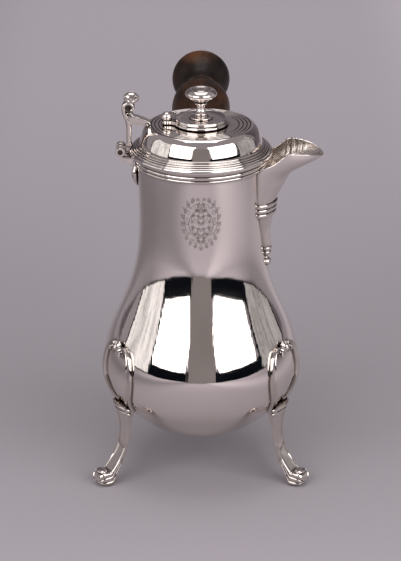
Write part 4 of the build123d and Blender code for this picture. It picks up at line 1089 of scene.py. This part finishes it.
for k in range(21):
    a, lean = radians(-84 + 8.4 * k), 28 if k % 2 else -28
    leaf_cut(10.4 * cos(a), heart + 15.4 * sin(a), degrees(a) + lean, 2.2 + 0.7 * (k % 3 == 0), 0.30)
for k in range(13):
    a, lean = radians(-78 + 13 * k), 35 if k % 2 else -35
    leaf_cut(6.3 * cos(a), heart + 11.0 * sin(a), degrees(a) + 180 + lean, 2.1)
for k in range(7):
    leaf_cut(0.3, 169.5 + 4.1 * k, 60, 3.0)
    leaf_cut(0.3, 171.2 + 4.1 * k, 18, 2.4)

# %% sink the cuts into the neck and mirror them
crest, valley = 0.035, 0.004
points, faces = [], []
for line, wide in strokes:
    base, count = len(points), len(line)
    for k, (x, y) in enumerate(line):
        a, b = line[max(k - 1, 0)], line[min(k + 1, count - 1)]
        long = dist(a, b) or 1e-6
        nx, ny = -(b[1] - a[1]) / long, (b[0] - a[0]) / long
        w = 0.8 * wide * (0.35 + 0.65 * sin(pi * min(0.96, max(0.04, k / (count - 1)))))
        points += [on_neck(x + nx * w, y + ny * w, crest), on_neck(x, y, valley),
                   on_neck(x - nx * w, y - ny * w, crest)]
    faces += [tuple(base + i for i in face) for face in grid(count, 3)]
mirror_tree, start, end = new_group("mirror_left_and_right", "GeometryNodeTree",
                                    [shape_socket, finish_socket], [shape_socket])
half = start.outputs["Geometry"]
other = add(mirror_tree, "GeometryNodeTransform", {"Scale": (-1, 1, 1), "Geometry": half})
flip = add(mirror_tree, "GeometryNodeFlipFaces", {"Mesh": other})
two = add(mirror_tree, "GeometryNodeJoinGeometry", {"Geometry": half})
feed(mirror_tree, two, {"Geometry": flip})
send_out(mirror_tree, two, start, end)
# Painted shade: the cuts get a dark silver tone for the dark that lies down in each V-shaped cut.
engraved_cut_shade = metal("silver_engraved_painted_shade", (0.22, 0.19, 0.175), (0.12, 0.10, 0.09), 0.3, 0.5, 0.004, 0.0)
mesh = bpy.data.meshes.new("engraved_spray")
mesh.from_pydata([p * mm for p in points], [], faces)
on_frame(run_tree(linked("engraved_spray", mesh), mirror_tree, {"Finish": engraved_cut_shade}), "pot")
print("engraved strokes", 2 * len(strokes))

# %% [markdown]
# ## The studio
# The pot stands on a pale mauve-grey sheet that curves up behind it, with painted light in
# its tones. Two broad soft boxes stand left and right of the camera, and a weak one overhead.
# A mirror shows its room, so most of the pot's look is what stands in front of it: the boxes,
# a dark gap between them, a dark skirt below, and a streaked reflector at each side in a dark
# frame. These walls are painted light and shade: the gap and the reflectors glow by
# themselves, and the near-black skirt and frames stand in for the unlit room. The camera
# doesn't see these walls and they throw no shadow.

# %% lay the sheet
def plain_surface(name, tone, glow=None):
    """A matt material of one tone for the studio, which may glow by itself."""
    made, tree, shader = new_material(name)
    feed(tree, shader, {"Base Color": (*tone, 1), "Roughness": 0.9, "Specular IOR Level": 0.0})
    if glow:
        feed(tree, shader, {"Emission Color": (*glow, 1), "Emission Strength": 1.0})
    return made


def streaked(name, tone, dark, light, seed):
    """A glowing surface with soft upright streaks from a dark to a light tone."""
    made, tree, shader = new_material(name)
    place = stretched(tree, own_space(tree), (0, 0, seed), (1.0, 1.0, 0.28))
    stops = [(at, (glow, glow * 0.985, glow * 0.975)) for at, glow in ((0.36, dark), (0.60, light))]
    feed(tree, shader, {"Base Color": (tone, tone, tone, 1), "Roughness": 0.9, "Specular IOR Level": 0.0,
                        "Emission Strength": 1.0,
                        "Emission Color": ramp(tree, noise(tree, place, 5.5, 5.0, 0.65, 1.2), stops)})
    return made


def painted_light_tones(tree, value, tones, tint=(1, 1, 1), rule="LINEAR"):
    """Painted light: tones over a length in metres, with a tint."""
    low, high = tones[0][0], tones[-1][0]
    stops = [((at - low) / (high - low), [tone * t for t in tint]) for at, tone in tones]
    return ramp(tree, between(tree, value, low, high), stops, rule)


# The sheet's tones are painted light and shade: bands over its depth and a left-to-right ramp stand in for
# how the lamps fall on it.
sheet_painted_light = ((-2.5, 0.40), (-0.9, 0.46), (-0.45, 0.45), (-0.14, 0.40), (0.05, 0.36), (0.31, 0.40),
               (1.17, 0.63), (1.5, 0.34), (2.2, 0.30))
side_painted_light = ((-0.80, 0.90), (-0.42, 0.62), (-0.16, 1.0), (0.16, 1.0), (0.34, 1.36), (0.80, 0.84))
sheet_painted_light_finish, tree, shader = new_material("studio_sheet")
split = add(tree, "ShaderNodeSeparateXYZ", {"Vector": own_space(tree)})
painted_light_in_depth = painted_light_tones(tree, split.outputs["Y"], sheet_painted_light, (1, 0.925, 0.99))
width = painted_light_tones(tree, split.outputs["X"], side_painted_light, rule="EASE")
feed(tree, shader, {"Base Color": mixed(tree, 1.0, painted_light_in_depth, width, "MULTIPLY"), "Roughness": 0.9,
                    "Specular IOR Level": 0.0})
sweep = [(-2500, 0), (1300, 0)]
sweep += [(1300 + 900 * sin(a), 900 - 900 * cos(a)) for a in np.linspace(0.1, pi / 2, 16)] + [(2200, 2600)]
points = [(x, y, z) for y, z in sweep for x in (-3000, 3000)]
piece_from("studio_sheet", points, grid(len(sweep), 2), sheet_painted_light_finish, 60)


# %% stand the room's walls where the mirror sees them
def wall(name, azimuths, heights, radius, material):
    """A curved wall in front of the pot; azimuths count from the camera's side."""
    turns = [radians(a) for a in np.linspace(*azimuths, 25)]
    points = [(radius * sin(a), -radius * cos(a), z) for z in heights for a in turns]
    made = piece_from(name, points, grid(2, len(turns)), material, 60)
    made.visible_camera = made.visible_shadow = False


# Painted shade: the near-black skirt and frames stand in for the unlit room in front of the pot.
unlit_room_shade = plain_surface("dark_skirt", (0.006, 0.008, 0.012))
# Painted light: the gap between the boxes and the two streaked reflectors glow by themselves, for dim room
# light and for lamplight bounced off reflectors.
gap_painted_glow = plain_surface("gap_painted_glow", (0.1, 0.1, 0.1), (0.19, 0.17, 0.165))
wall("skirt_left", (-61, -15), (-30, 420), 2150, unlit_room_shade)
wall("skirt_right", (16, 78), (-30, 420), 2150, unlit_room_shade)
wall("gap_between_boxes", (-15.5, 16.5), (-30, 1500), 2200, gap_painted_glow)
wall("reflector_left", (-104, -62.5), (45, 1500), 1900, streaked("reflector_left", 0.3, 0.38, 0.95, 0.4))
wall("reflector_right", (76, 120), (45, 1500), 1900, streaked("reflector_right", 0.2, 0.12, 0.38, 1.1))
wall("frame_left", (-106, -60), (20, 1540), 1950, unlit_room_shade)
wall("frame_right", (73, 122), (20, 1540), 1950, unlit_room_shade)

# %% hang the lamps
def soft_box(name, place, target, wide, high, power):
    """A rectangular area lamp that looks at a point."""
    data = bpy.data.lights.new(name, "AREA")
    data.shape, data.size, data.size_y, data.energy = "RECTANGLE", wide, high, power
    aimed(linked(name, data), place, target)


soft_box("box_left", (-1.06, -1.33, 0.95), (0, 0, 0.12), 1.45, 1.3, 16)
soft_box("box_right", (1.19, -1.21, 0.95), (0, 0, 0.12), 1.75, 1.3, 20)
soft_box("box_top", (0, 0.2, 2.2), (0, 0, 0.1), 1.6, 1.6, 14)
world = bpy.data.worlds.new("studio_air")
bpy.context.scene.world = world
world.use_nodes = True
air = world.node_tree
feed(air, air.nodes["Background"], {"Color": (0.40, 0.37, 0.395, 1), "Strength": 0.75})
bpy.context.scene.view_settings.view_transform = "Standard"
